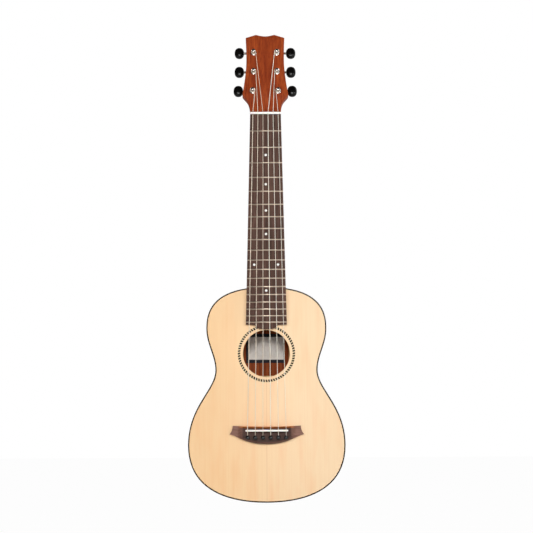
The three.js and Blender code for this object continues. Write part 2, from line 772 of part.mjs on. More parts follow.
function makeBridge() {
  const rampEnd = bridgeBlockHalf + bridgeRampLength;
  const wing = bridgeTip.half + overrun;
  const knee = mix(bridgeBlockHalf, rampEnd, rampKneeShares.across);
  const kneeHeight = mix(bridgeHeight, bridgeWingHeight, rampKneeShares.down);
  const front = polygon([
    [-wing, 0], [wing, 0], [wing, -bridgeWingHeight], [rampEnd, -bridgeWingHeight],
    [knee, -kneeHeight], [bridgeBlockHalf, -bridgeHeight], [-bridgeBlockHalf, -bridgeHeight],
    [-knee, -kneeHeight], [-rampEnd, -bridgeWingHeight], [-wing, -bridgeWingHeight],
  ]);
  const blank = spanAlong(front, -bridgeBelly - overrun, -bridgeTop.place + overrun)
    .intersect(slab(bridgeShape(), -bridgeHeight - overrun, 0, 8));
  const slotHalf = saddleLength / 2 + seatGap;
  const slot = block([-slotHalf, slotHalf], [-bridgeHeight - overrun, -bridgeHeight + saddleDepth],
    [-saddlePlace - saddleThickness / 2 - seatGap, -saddlePlace + saddleThickness / 2 + seatGap]);
  return without(blank, [slot, ...pinHoles()]);
}

function makeSaddle() {
  const half = saddleThickness / 2;
  const foot = -bridgeHeight + saddleDepth;
  const profile = polygon([
    [foot, -saddlePlace - half], [foot, -saddlePlace + half],
    [-saddleTop + saddleCrown, -saddlePlace + half], [-saddleTop, -saddlePlace + half - saddleCrown],
    [-saddleTop, -saddlePlace - half + saddleCrown], [-saddleTop + saddleCrown, -saddlePlace - half],
  ]);
  return spanAcross(profile, -saddleLength / 2, saddleLength / 2);
}

function makePin() {
  const seat = -bridgeHeight;
  const profile = [
    [0, seat - pinHeadHeight],
    ...pinHeadShares.map(([across, up]) => [pinHeadRadius * across, seat - pinHeadHeight * up]),
    [pinRadius, seat], [pinTipRadius, seat + pinLength - pinTipRadius],
    [pinTipRadius / 2, seat + pinLength], [0, seat + pinLength],
  ];
  return solid(turned(profile, 10));
}

// Tuning machines, in the head's flat frame

// Each string's post: the bass strings rise up the left edge and the treble strings the right.
const posts = [0, 1, 2, 3, 4, 5].map((index) => {
  const side = index < 3 ? 1 : -1;
  const row = side > 0 ? index : 5 - index;
  return {
    side,
    x: side * (row === 0 ? lowPostOffset : upperPostOffset),
    rise: firstPost + row * postSpacing,
  };
});

// A worm wheel with straight teeth leaned to the thread, a gap between two teeth facing the worm.
function makeWheel() {
  const tip = wheelPitchRadius + toothAddendum;
  const root = wheelPitchRadius - toothDedendum;
  const halfTooth = (toothPitch - toothBacklash) / 4;
  const tipHalf = halfTooth - toothAddendum * Math.tan(toothPressure);
  const rootHalf = halfTooth + toothDedendum * Math.tan(toothPressure);
  const points = [];
  for (let tooth = 0; tooth < wheelTeeth; tooth++) {
    const middle = Math.PI / 2 - (tooth + 1 / 2) * 2 * Math.PI / wheelTeeth;
    for (const [radius, half] of [[root, rootHalf], [tip, tipHalf], [tip, -tipHalf], [root, -rootHalf]]) {
      const angle = middle + half / radius;
      points.push([radius * Math.cos(angle), radius * Math.sin(angle)]);
    }
  }
  const lean = toothPitch / (2 * Math.PI * wormPitchRadius);
  const geometry = reshape(unitExtrusion(polygon(points), 1), (x, z, share) => {
    const y = (1 / 2 - share) * wheelWidth;
    const turn = lean * y / wheelPitchRadius;
    return [x * Math.cos(turn) + z * Math.sin(turn), y, z * Math.cos(turn) - x * Math.sin(turn)];
  });
  return solid(geometry.translate(0, wormDepth, 0));
}

// The string post with its wheel on the end behind the head.
function makePost() {
  const wheelFront = wormDepth - wheelWidth / 2;
  const wheelBack = wormDepth + wheelWidth / 2;
  const hubFront = plateBack + runningGap;
  const profile = [
    [0, -postRise], [postRadius - postDome, -postRise], [postRadius, -postRise + postDome],
    [postRadius, -postWaistEnd - postDome / 2], [postWaistRadius, -postWaistEnd],
    [postWaistRadius, -postWaistStart - postDome / 2], [postRadius, -postWaistStart],
    [postRadius, hubFront], [wheelHubRadius, hubFront], [wheelHubRadius, wheelFront + runningGap],
    [wheelScrewRadius, wheelFront + runningGap], [wheelScrewRadius, wheelBack + wheelScrewHeight],
    [0, wheelBack + wheelScrewHeight],
  ];
  const eye = shaft(-postRadius - overrun, postRadius + overrun,
    -centre(postWaistEnd, postRise) - postDome / 4, 0, postHoleRadius, 6);
  return solid(turned(profile, 8)).add(makeWheel()).subtract(eye);
}

// A one-start thread: each row of points climbs one lead in a turn and meets the row of the next ridge.
function makeThread() {
  const halfRidge = (toothPitch - toothBacklash) / 4;
  const crest = halfRidge - toothAddendum * Math.tan(toothPressure);
  const foot = halfRidge + toothDedendum * Math.tan(toothPressure);
  const root = wormPitchRadius - toothDedendum;
  const ridge = [[-foot, root], [-crest, wormCrest], [crest, wormCrest], [foot, root]];
  const ridges = 2 * Math.ceil(wormHalfLength / toothPitch) + wormSpareRidges;
  const rows = ridges * ridge.length;
  const points = [];
  const index = (row, column) => (column === wormFacets ? index(row + ridge.length, 0)
    : column * (rows + ridge.length) + row);
  for (let column = 0; column < wormFacets; column++) {
    const angle = (column / wormFacets) * 2 * Math.PI;
    for (let row = 0; row < rows + ridge.length; row++) {
      const [along, radius] = ridge[row % ridge.length];
      const turn = Math.floor(row / ridge.length) - ridges / 2 + column / wormFacets + wormStartShare;
      points.push([along + turn * toothPitch, radius * Math.cos(angle), radius * Math.sin(angle)]);
    }
  }
  const triangles = [];
  for (let row = 0; row + 1 < rows; row++) {
    for (let column = 0; column < wormFacets; column++) {
      const [a, b] = [index(row, column), index(row, column + 1)];
      const [c, d] = [index(row + 1, column + 1), index(row + 1, column)];
      triangles.push(a, b, c, a, c, d);
    }
  }
  for (const [row, end] of [[0, -1], [rows - 1, 1]]) {
    const edge = [];
    for (let column = 0; column <= wormFacets; column++) edge.push(index(row, column));
    for (let step = ridge.length - 1; step > 0; step--) edge.push(index(row + step, 0));
    const hub = points.length;
    points.push([end * (ridges + wormSpareRidges) / 2 * toothPitch, 0, 0]);
    edge.forEach((corner, i) => {
      const next = edge[(i + 1) % edge.length];
      triangles.push(hub, ...(end < 0 ? [next, corner] : [corner, next]));
    });
  }
  const geometry = new THREE.BufferGeometry();
  geometry.setAttribute('position', new THREE.Float32BufferAttribute(points.flat(), 3));
  geometry.setIndex(triangles);
  return solid(geometry).intersect(
    shaft(-wormHalfLength, wormHalfLength, 0, 0, wormCrest + overrun, 4));
}

const earInner = wormHalfLength + runningGap;
const earOuter = earInner + ear.thickness;

// The worm and its shaft, which runs out past the head's edge into the button.
function makeWorm(side) {
  const end = buttonReach - buttonSize.width / 2 + buttonBoreDepth - seatGap;
  const tail = earOuter + wormTailLength;
  const [from, to] = side > 0 ? [-tail, end] : [-end, tail];
  return shaft(from, to, 0, 0, wormShaftRadius, 8).add(makeThread());
}

function makeButton(side) {
  const { width, height, thickness } = buttonSize;
  const knob = solid(new THREE.SphereGeometry(1 / 2, 12, 8).scale(width, thickness, height)
    .translate(side * buttonReach, 0, 0));
  const start = buttonReach - width;
  const end = buttonReach - width / 2 + buttonBoreDepth;
  const [from, to] = side > 0 ? [start, end] : [-end, -start];
  return knob.subtract(shaft(from, to, 0, 0, wormShaftRadius + seatGap, 8));
}

// The machine's plate on the back of the head, with two ears that carry the worm.
function makePlate() {
  const front = headThickness + turnedSeatGap;
  const boreShape = rectangle(-plate.half, plate.half, -plate.below, plate.above);
  const bore = new THREE.Path();
  bore.absarc(0, 0, postRadius + runningGap, 0, 2 * Math.PI, true);
  boreShape.holes.push(bore);
  const base = slab(boreShape, front, plateBack, 5);
  const ears = [[-earOuter, -earInner], [earInner, earOuter]].map(([from, to]) => {
    const shape = new THREE.Shape();
    shape.moveTo(centre(front, plateBack), wormAway - ear.half);
    shape.lineTo(wormDepth, wormAway - ear.half);
    shape.absarc(wormDepth, wormAway, ear.half, -Math.PI / 2, Math.PI / 2, false);
    shape.lineTo(centre(front, plateBack), wormAway + ear.half);
    const hole = new THREE.Path();
    hole.absarc(wormDepth, wormAway, wormShaftRadius + runningGap, 0, 2 * Math.PI, true);
    shape.holes.push(hole);
    return spanAcross(shape, from, to);
  });
  return united([base, ...ears]);
}

// Strings

// A route with a step at every point of its list.
class Route extends THREE.Curve {
  constructor(points) {
    super();
    this.points = points;
  }

  getPoint(share) {
    const place = share * (this.points.length - 1);
    const from = Math.min(Math.floor(place), this.points.length - 2);
    return this.points[from].clone().lerp(this.points[from + 1], place - from);
  }

  getPointAt(share) {
    return this.getPoint(share);
  }

  getTangentAt(share) {
    const at = Math.round(share * (this.points.length - 1));
    const before = this.points[Math.max(at - 1, 0)];
    const here = this.points[at];
    const after = this.points[Math.min(at + 1, this.points.length - 1)];
    const arriving = here.clone().sub(before).normalize();
    const leaving = after.clone().sub(here).normalize();
    return arriving.add(leaving).normalize();
  }
}

function tube(points, radius, sides) {
  const section = new THREE.Shape();
  for (let i = 0; i < sides; i++) {
    const angle = (i / sides) * 2 * Math.PI;
    const [u, v] = [radius * Math.cos(angle), radius * Math.sin(angle)];
    if (i === 0) section.moveTo(u, v);
    else section.lineTo(u, v);
  }
  const steps = points.length - 1;
  return solid(new THREE.ExtrudeGeometry(section, {
    steps, bevelEnabled: false, extrudePath: new Route(points),
  }));
}

const fromHead = (x, depth, rise) =>
  new THREE.Vector3(x, depth, rise).applyAxisAngle(new THREE.Vector3(1, 0, 0), -headTilt);

// The turns on the post, from the lowest, which the string reaches first, out towards the eye.
function windingPoints(index) {
  const { side, x, rise } = posts[index];
  const radius = stringRadii[index];
  const reach = postRadius + radius + runningGap;
  const pitch = 2 * radius + windingGap;
  const start = bushingRise + radius + runningGap;
  const points = [];
  for (let step = 0; step <= windingTurns * windingSteps; step++) {
    const turn = step / windingSteps;
    const angle = turn * 2 * Math.PI;
    points.push(fromHead(x - side * reach * Math.cos(angle), -start - pitch * turn,
      rise + reach * Math.sin(angle)));
  }
  const last = points[points.length - 1];
  const before = points[points.length - 2];
  const tail = last.clone().sub(before).setLength(2 * radius);
  return [...points, last.clone().add(tail)];
}

// The whole string: ball end, pin slot, saddle, nut, and the turns on its post.
function stringPoints(index) {
  const radius = stringRadii[index];
  const xPin = saddleStringPlace(index);
  const xNut = nutStringPlace(index);
  const below = topThickness + bridgePatchThickness;
  const inSlot = pinPlace - pinRadius - seatGap - radius;
  const half = saddleThickness / 2;
  const slotMouth = pinPlace - pinSlotReach + radius + seatGap;
  const span = (place, height) => new THREE.Vector3(xPin, -height, -place);
  return [
    span(inSlot + radius - ballEndRadius, -below - ballEndRadius),
    span(inSlot, -below),
    span(inSlot, bridgeHeight - radius - pinHeadHeight / 2),
    span(pinPlace - pinHeadRadius, bridgeHeight - radius - runningGap),
    span(slotMouth, bridgeHeight + seatGap),
    span(saddlePlace + half - saddleCrown / 2, saddleStringHeight),
    span(saddlePlace - half, saddleStringHeight),
    new THREE.Vector3(xNut, -boardTop - nutStringHeight, -nutCompensation),
    new THREE.Vector3(xNut, -boardTop - nutStringHeight, nutThickness - nutCompensation - radius),
    ...windingPoints(index),
  ];
}

function makeString(index) {
  const points = stringPoints(index);
  const ball = solid(new THREE.SphereGeometry(ballEndRadius, 6, 5).translate(...points[0].toArray()));
  return tube(points, stringRadii[index], windingSides).add(ball);
}

// The least gap between turns that lie one round apart, measured on the winding's points.
function leastWindingGap(index) {
  const points = windingPoints(index);
  let least = Infinity;
  for (let i = 0; i < points.length; i++) {
    for (let j = i + windingSteps / 2; j < points.length; j++) {
      least = Math.min(least, points[i].distanceTo(points[j]));
    }
  }
  return least - 2 * stringRadii[index];
}

// Assembly

const guitar = new THREE.Group();
const head = new THREE.Group();
head.rotation.x = -headTilt;
guitar.add(head);

function place(group, name, shape, material, x = 0, y = 0, z = 0) {
  const mesh = new THREE.Mesh(geometryOf(shape), material);
  mesh.name = name;
  mesh.position.set(x, y, z);
  group.add(mesh);
}

const fixed = (name, shape, material) => place(guitar, name, shape, material);

fixed('soundboard', makeSoundboard(), spruce);
fixed('rosette', makeRosette(), inlay);
fixed('top_binding', makeTopBinding(), bindingWood);
fixed('back_plate', makeBackPlate(), mahogany);
for (const [name, side] of [['bass', -1], ['treble', 1]]) {
  fixed(`side_${name}`, makeSide(side), darkMahogany);
  fixed(`top_lining_${name}`, makeTopLining(side), mahogany);
  fixed(`back_lining_${name}`, makeBackLining(side), mahogany);
}
fixed('heel_block', makeHeelBlock(), mahogany);
fixed('tail_block', makeTailBlock(), mahogany);
fixed('upper_cross_bar', makeUpperBar(), spruce);
fixed('top_bracing', makeTopBracing(), spruce);
fixed('back_bracing', makeBackBracing(), spruce);
fixed('label', makeLabel(), paper);
fixed('neck', makeNeck(), mahogany);
fixed('heel_cap', makeHeelCap(), rosewood);
fixed('truss_rod', makeTrussRod(), steel);
fixed('fingerboard', makeFingerboard(), rosewood);
fixed('nut', makeNut(), bone);
fixed('bridge', makeBridge(), rosewood);
fixed('saddle', makeSaddle(), bone);

const pin = makePin();
const plateShape = makePlate();
const post = makePost();
posts.forEach(({ side, x, rise }, index) => {
  const number = index + 1;
  fixed(`string_${number}`, makeString(index), nylon);
  place(guitar, `bridge_pin_${number}`, pin, blackPlastic, saddleStringPlace(index), 0, -pinPlace);
  place(head, `tuner_plate_${number}`, plateShape, chrome, x, 0, rise);
  place(head, `string_post_${number}`, post, brass, x, 0, rise);
  place(head, `tuner_worm_${number}`, makeWorm(side), chrome, x, wormDepth, rise + wormAway);
  place(head, `tuner_button_${number}`, makeButton(side), blackPlastic, x, wormDepth, rise + wormAway);
  console.log(`string ${number}: least gap between turns ${leastWindingGap(index).toFixed(2)} mm`);
});

export default guitar;
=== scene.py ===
"""Looks of a small nylon-string travel guitar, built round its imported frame.

Sizes are in millimetres and become metres when a mesh is made. X runs from the bass side to the
treble side, Z up the neck from the nut line, and -Y is the front. The soundboard's face is at Y 0.
"""

from __future__ import annotations

import logging
import math
from abc import ABC, abstractmethod
from dataclasses import dataclass, replace
from enum import Enum
from functools import partial
from typing import Any, Callable, ClassVar, Iterable, Sequence, Union

import bmesh
import bpy
from bpy.types import (ID, Material, Mesh, Node, NodeSocket, NodeTree, Object, World,
                       bpy_prop_collection)
from mathutils import Matrix, Vector
from mathutils.geometry import tessellate_polygon


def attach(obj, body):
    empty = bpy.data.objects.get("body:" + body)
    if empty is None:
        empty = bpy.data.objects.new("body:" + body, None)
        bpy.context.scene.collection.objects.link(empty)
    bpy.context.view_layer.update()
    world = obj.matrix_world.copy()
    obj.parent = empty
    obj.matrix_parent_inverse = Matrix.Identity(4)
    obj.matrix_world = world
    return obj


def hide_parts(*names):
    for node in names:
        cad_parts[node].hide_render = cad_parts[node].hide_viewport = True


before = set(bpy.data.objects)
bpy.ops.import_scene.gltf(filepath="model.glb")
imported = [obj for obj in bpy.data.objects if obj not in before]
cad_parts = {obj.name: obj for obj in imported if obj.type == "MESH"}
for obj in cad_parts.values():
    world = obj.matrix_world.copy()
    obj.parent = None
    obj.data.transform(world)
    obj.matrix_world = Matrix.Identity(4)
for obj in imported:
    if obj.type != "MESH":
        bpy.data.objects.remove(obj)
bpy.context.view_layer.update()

log = logging.getLogger("guitar")

MM = 0.001
# Two vertices closer than this, in millimetres, are one.
MERGE = 0.002
# Facets of the large rings: the soundhole and the rosette.
RING_STEPS = 120
# The Mix node's share and two colours, by number because each of their names occurs again on it.
SHARE, UNDER, OVER = 0, 6, 7

Point = tuple[float, float, float]
Flat = tuple[float, float]
Depth = Union[float, Callable[[float], float]]
Source = Union[Node, NodeSocket]
Add = Callable[..., Node]


class Side(Enum):
    """The two sides of the guitar, as the sign of X."""

    BASS = -1
    TREBLE = 1


class Grain(Enum):
    """The way that a timber's fibres run."""

    UP_THE_NECK = "up the neck"
    ACROSS_THE_BODY = "across the body"
    ROUND_THE_BODY = "round the body"


class Layout(Enum):
    """The ways that copies of a small piece are set out."""

    AT_PLACES = "at places"
    ON_FRETS = "on frets"
    ROUND_A_RING = "round a ring"


def mix(start: float, end: float, share: float) -> float:
    """Returns the value at a share of the way from start to end."""
    return start + (end - start) * share


def angles(turn: float, steps: int) -> list[float]:
    """Returns the angles from zero to a turn in even steps, both ends included."""
    return [turn * i / steps for i in range(steps + 1)]


def linear(hex_colour: str) -> tuple[float, float, float, float]:
    """Turns an sRGB hex colour into the linear colour that a socket takes.

    Args:
        hex_colour: Six hex digits after a hash sign.

    Returns:
        Red, green and blue in linear light, with full alpha.
    """
    values = [int(hex_colour[i:i + 2], 16) / 255 for i in (1, 3, 5)]
    return (*[v / 12.92 if v <= 0.04045 else ((v + 0.055) / 1.055) ** 2.4 for v in values], 1.0)


def feed(tree: NodeTree, node: Node, links: dict[Any, Any]) -> None:
    """Links or sets a node's inputs.

    Args:
        tree: The tree that holds the node.
        node: The node.
        links: For each input, a socket or a node to link to it, or a value to set on it. A node
            stands for its first output that is in use.
    """
    for name, value in links.items():
        if isinstance(value, Node):
            value = next(socket for socket in value.outputs if socket.enabled)
        if isinstance(value, NodeSocket):
            tree.links.new(value, node.inputs[name])
        else:
            node.inputs[name].default_value = value


def put(tree: NodeTree, kind: str, links: dict[Any, Any] | None = None,
        stops: Sequence[tuple[float, str]] = (), **settings: Any) -> Node:
    """Adds one node to a tree.

    Args:
        tree: The tree that takes the node.
        kind: Blender's name for the node, without ShaderNode where it starts with that.
        links: What each input is linked to or set to, as feed takes it.
        stops: Places and hex colours of a colour ramp.
        settings: Attributes of the node, set before its inputs.

    Returns:
        The new node.
    """
    node = tree.nodes.new(kind if "Node" in kind else f"ShaderNode{kind}")
    for name, value in settings.items():
        setattr(node, name, value)
    feed(tree, node, links or {})
    for index, (place, colour) in enumerate(stops):
        ramp = node.color_ramp.elements
        stop = ramp[index] if index < 2 else ramp.new(place)
        stop.position = place
        stop.color = linear(colour)
    return node


def fresh_tree(owner: Material | World) -> Add:
    """Empties the node tree of a material or a world.

    Args:
        owner: The material or the world.

    Returns:
        A function that adds a node to the tree, as put does.
    """
    owner.use_nodes = True
    owner.node_tree.nodes.clear()
    return partial(put, owner.node_tree)


def set_out(data: ID) -> Object:
    """Adds an object to the scene.

    Args:
        data: Its mesh, lamp or camera, which gives it its name.

    Returns:
        The new object, at the origin.
    """
    made = bpy.data.objects.new(data.name, data)
    bpy.context.scene.collection.objects.link(made)
    return made


def meshed(name: str, points: Sequence[Point],
           faces: Sequence[tuple[int, ...]] = ()) -> Mesh:
    """Makes a mesh in metres.

    Args:
        name: The mesh's name.
        points: Its points in millimetres.
        faces: The numbers of each face's points.

    Returns:
        The new mesh.
    """
    mesh = bpy.data.meshes.new(name)
    mesh.from_pydata([[value * MM for value in point] for point in points], [], faces)
    return mesh


# Meshes


@dataclass
class Shell:
    """A closed surface in millimetres, before it becomes a mesh."""

    points: list[Point]
    faces: list[tuple[int, ...]]

    def moved(self, rule: Callable[[Point], Point]) -> Shell:
        """Returns the shell with every point moved to the place that a rule gives it."""
        return Shell([rule(point) for point in self.points], self.faces)

    def joined(self, other: Shell) -> Shell:
        """Returns one shell that holds both."""
        start = len(self.points)
        return Shell(self.points + other.points,
                     self.faces + [tuple(i + start for i in face) for face in other.faces])

    def pointed(self, tips: Sequence[Point]) -> Shell:
        """Closes both ends in a point, in place of the flat faces that a loft gives them.

        Args:
            tips: The point of the first end and that of the last.

        Returns:
            The closed shell.
        """
        count, faces = len(self.points), self.faces[:-2]
        for index, cap in enumerate(self.faces[-2:]):
            faces += [(a, b, count + index) for a, b in zip(cap, cap[1:] + cap[:1])]
        return Shell(self.points + list(tips), faces)

    def piece(self, name: str, sharp: float = 32) -> Object:
        """Makes the mesh object in metres, with its faces turned outwards.

        Args:
            name: The object's name.
            sharp: The angle in degrees past which an edge stays sharp.

        Returns:
            The object, linked to the scene, at the origin.
        """
        piece = set_out(meshed(name, self.points, self.faces))
        tidy(piece, sharp)
        return piece


def tidy(piece: Object, sharp: float = 32) -> None:
    """Merges doubles, turns faces outwards and shades smooth up to an angle.

    Args:
        piece: The object with the mesh.
        sharp: The angle in degrees past which an edge stays sharp.
    """
    work = bmesh.new()
    work.from_mesh(piece.data)
    bmesh.ops.remove_doubles(work, verts=work.verts, dist=MERGE * MM)
    bmesh.ops.recalc_face_normals(work, faces=work.faces)
    work.to_mesh(piece.data)
    work.free()
    piece.data.shade_smooth()
    piece.data.set_sharp_from_angle(angle=math.radians(sharp))


def baked(piece: Object, sharp: float | None = None) -> Object:
    """Turns a piece's modifiers into plain mesh.

    Args:
        piece: The object with its modifiers.
        sharp: The angle in degrees past which an edge stays sharp, or None to leave the shading.

    Returns:
        The same object, without modifiers.
    """
    bpy.context.view_layer.update()
    seen = piece.evaluated_get(bpy.context.evaluated_depsgraph_get())
    mesh = bpy.data.meshes.new_from_object(seen)
    piece.modifiers.clear()
    piece.data = mesh
    if sharp is not None:
        tidy(piece, sharp)
    return piece


def rounded(piece: Object, radius: float, segments: int = 3,
            angle: float = 40) -> Object:
    """Rounds a piece's sharp edges.

    Args:
        piece: The object.
        radius: The radius in millimetres.
        segments: The number of facets across a round.
        angle: The angle in degrees past which an edge is rounded.

    Returns:
        The same piece as plain mesh.
    """
    bevel = piece.modifiers.new("round", "BEVEL")
    bevel.width = radius * MM
    bevel.segments = segments
    bevel.limit_method = "ANGLE"
    bevel.angle_limit = math.radians(angle)
    return baked(piece, 40)


def combined(piece: Object, tools: Iterable[Object],
             operation: str = "DIFFERENCE") -> Object:
    """Cuts, joins or crosses a piece with tools, which are used up.

    Args:
        piece: The object that stays.
        tools: The objects that shape it.
        operation: DIFFERENCE, UNION or INTERSECT.

    Returns:
        The same piece as plain mesh.
    """
    tools = list(tools)
    for tool in tools:
        step = piece.modifiers.new("shape", "BOOLEAN")
        step.operation = operation
        step.solver = "EXACT"
        step.object = tool
    baked(piece, 32)
    for tool in tools:
        bpy.data.objects.remove(tool)
    return piece


def at(depth: Depth, z: float) -> float:
    """Returns the depth of a surface at a height."""
    return depth(z) if callable(depth) else depth


def slab(loops: Sequence[Sequence[Flat]], front: Depth, back: Depth) -> Shell:
    """Fills outlines in X and Z between a front and a back surface.

    Args:
        loops: The outer outline, then any holes.
        front: The depth of the front face, or a rule that gives it for a height.
        back: The same for the back face.

    Returns:
        The closed shell.
    """
    flat = [point for loop in loops for point in loop]
    count = len(flat)
    caps = tessellate_polygon([[Vector((x, z, 0)) for x, z in loop] for loop in loops])
    faces: list[tuple[int, ...]] = [tuple(cap) for cap in caps]
    faces += [tuple(i + count for i in reversed(cap)) for cap in caps]
    start = 0
    for loop in loops:
        for i in range(len(loop)):
            a, b = start + i, start + (i + 1) % len(loop)
            faces.append((a, b, b + count, a + count))
        start += len(loop)
    points = [(x, at(front, z), z) for x, z in flat] + [(x, at(back, z), z) for x, z in flat]
    return Shell(points, faces)


def block(low: Point, high: Point) -> Shell:
    """Returns a box between two corners."""
    (x0, y0, z0), (x1, y1, z1) = low, high
    return slab([[(x0, z0), (x1, z0), (x1, z1), (x0, z1)]], y0, y1)


def circle(x: float, z: float, radius: float, steps: int = RING_STEPS) -> list[Flat]:
    """Returns a round outline about a place."""
    turn = 2 * math.pi / steps
    return [(x + radius * math.cos(i * turn), z + radius * math.sin(i * turn))
            for i in range(steps)]


def curve(points: Sequence[Flat], steps: int) -> list[Flat]:
    """Walks a Bezier curve of two, three or four control points.

    Args:
        points: The control points, ends included.
        steps: The number of steps.

    Returns:
        The points on the curve, both ends included.
    """
    walked = []
    for share in (i / steps for i in range(steps + 1)):
        level = list(points)
        while len(level) > 1:
            level = [(mix(a[0], b[0], share), mix(a[1], b[1], share))
                     for a, b in zip(level, level[1:])]
        walked.append(level[0])
    return walked


def mirrored(right: Sequence[Flat]) -> list[Flat]:
    """Adds the bass half to the treble half of an outline that ends on the middle line."""
    return [*right, *((-x, z) for x, z in right[-2::-1])]


def loft(rings: Sequence[Sequence[Point]]) -> Shell:
    """Skins a row of rings and closes both ends.

    Args:
        rings: The rings, with as many points each.

    Returns:
        The closed shell. The last two of its faces are the ends.
    """
    width = len(rings[0])
    points = [point for ring in rings for point in ring]
    faces: list[tuple[int, ...]] = []
    for row in range(len(rings) - 1):
        for i in range(width):
            a, b = row * width + i, row * width + (i + 1) % width
            faces.append((a, b, b + width, a + width))
    faces.append(tuple(range(width)))
    faces.append(tuple(range(len(points) - 1, len(points) - width - 1, -1)))
    return Shell(points, faces)


def spun(profile: Sequence[Flat], steps: int) -> Shell:
    """Spins a profile of radius and depth about the depth axis and closes both ends."""
    turn = 2 * math.pi / steps
    return loft([[(r * math.cos(i * turn), y, r * math.sin(i * turn)) for i in range(steps)]
                 for r, y in profile])


def turned(profile: Sequence[Flat], steps: int = 32) -> Shell:
    """Turns a profile of radius and depth about the depth axis.

    Args:
        profile: Points of radius and depth. The first and last lie on the axis.
        steps: The number of facets round it.

    Returns:
        The closed shell, about X 0 and Z 0.
    """
    return spun(profile[1:-1], steps).pointed([(0, profile[0][1], 0), (0, profile[-1][1], 0)])


def tube(points: Sequence[Point], radius: float, sides: int = 12) -> Shell:
    """Sweeps a round section along a route without twisting it.

    Args:
        points: The route.
        radius: The section's radius.
        sides: The number of facets round it.

    Returns:
        The closed shell.
    """
    route = [Vector(point) for point in points]
    first = (route[1] - route[0]).normalized()
    across = Vector((0, 1, 0)) if abs(first.x) > 0.9 else Vector((1, 0, 0)).cross(first)
    rings = []
    for i, here in enumerate(route):
        before, after = route[max(i - 1, 0)], route[min(i + 1, len(route) - 1)]
        way = (after - before).normalized()
        across = (across - way * across.dot(way)).normalized()
        other = way.cross(across)
        rings.append([tuple(here + radius * (math.cos(a) * across + math.sin(a) * other))
                      for a in angles(2 * math.pi, sides)[:-1]])
    return loft(rings)


def across_bar(start: float, end: float, radius: float, steps: int = 32) -> Shell:
    """Returns a round bar along the X axis between two places."""
    return tube([(start, 0, 0), (end, 0, 0)], radius, steps)


# Copies by Geometry Nodes


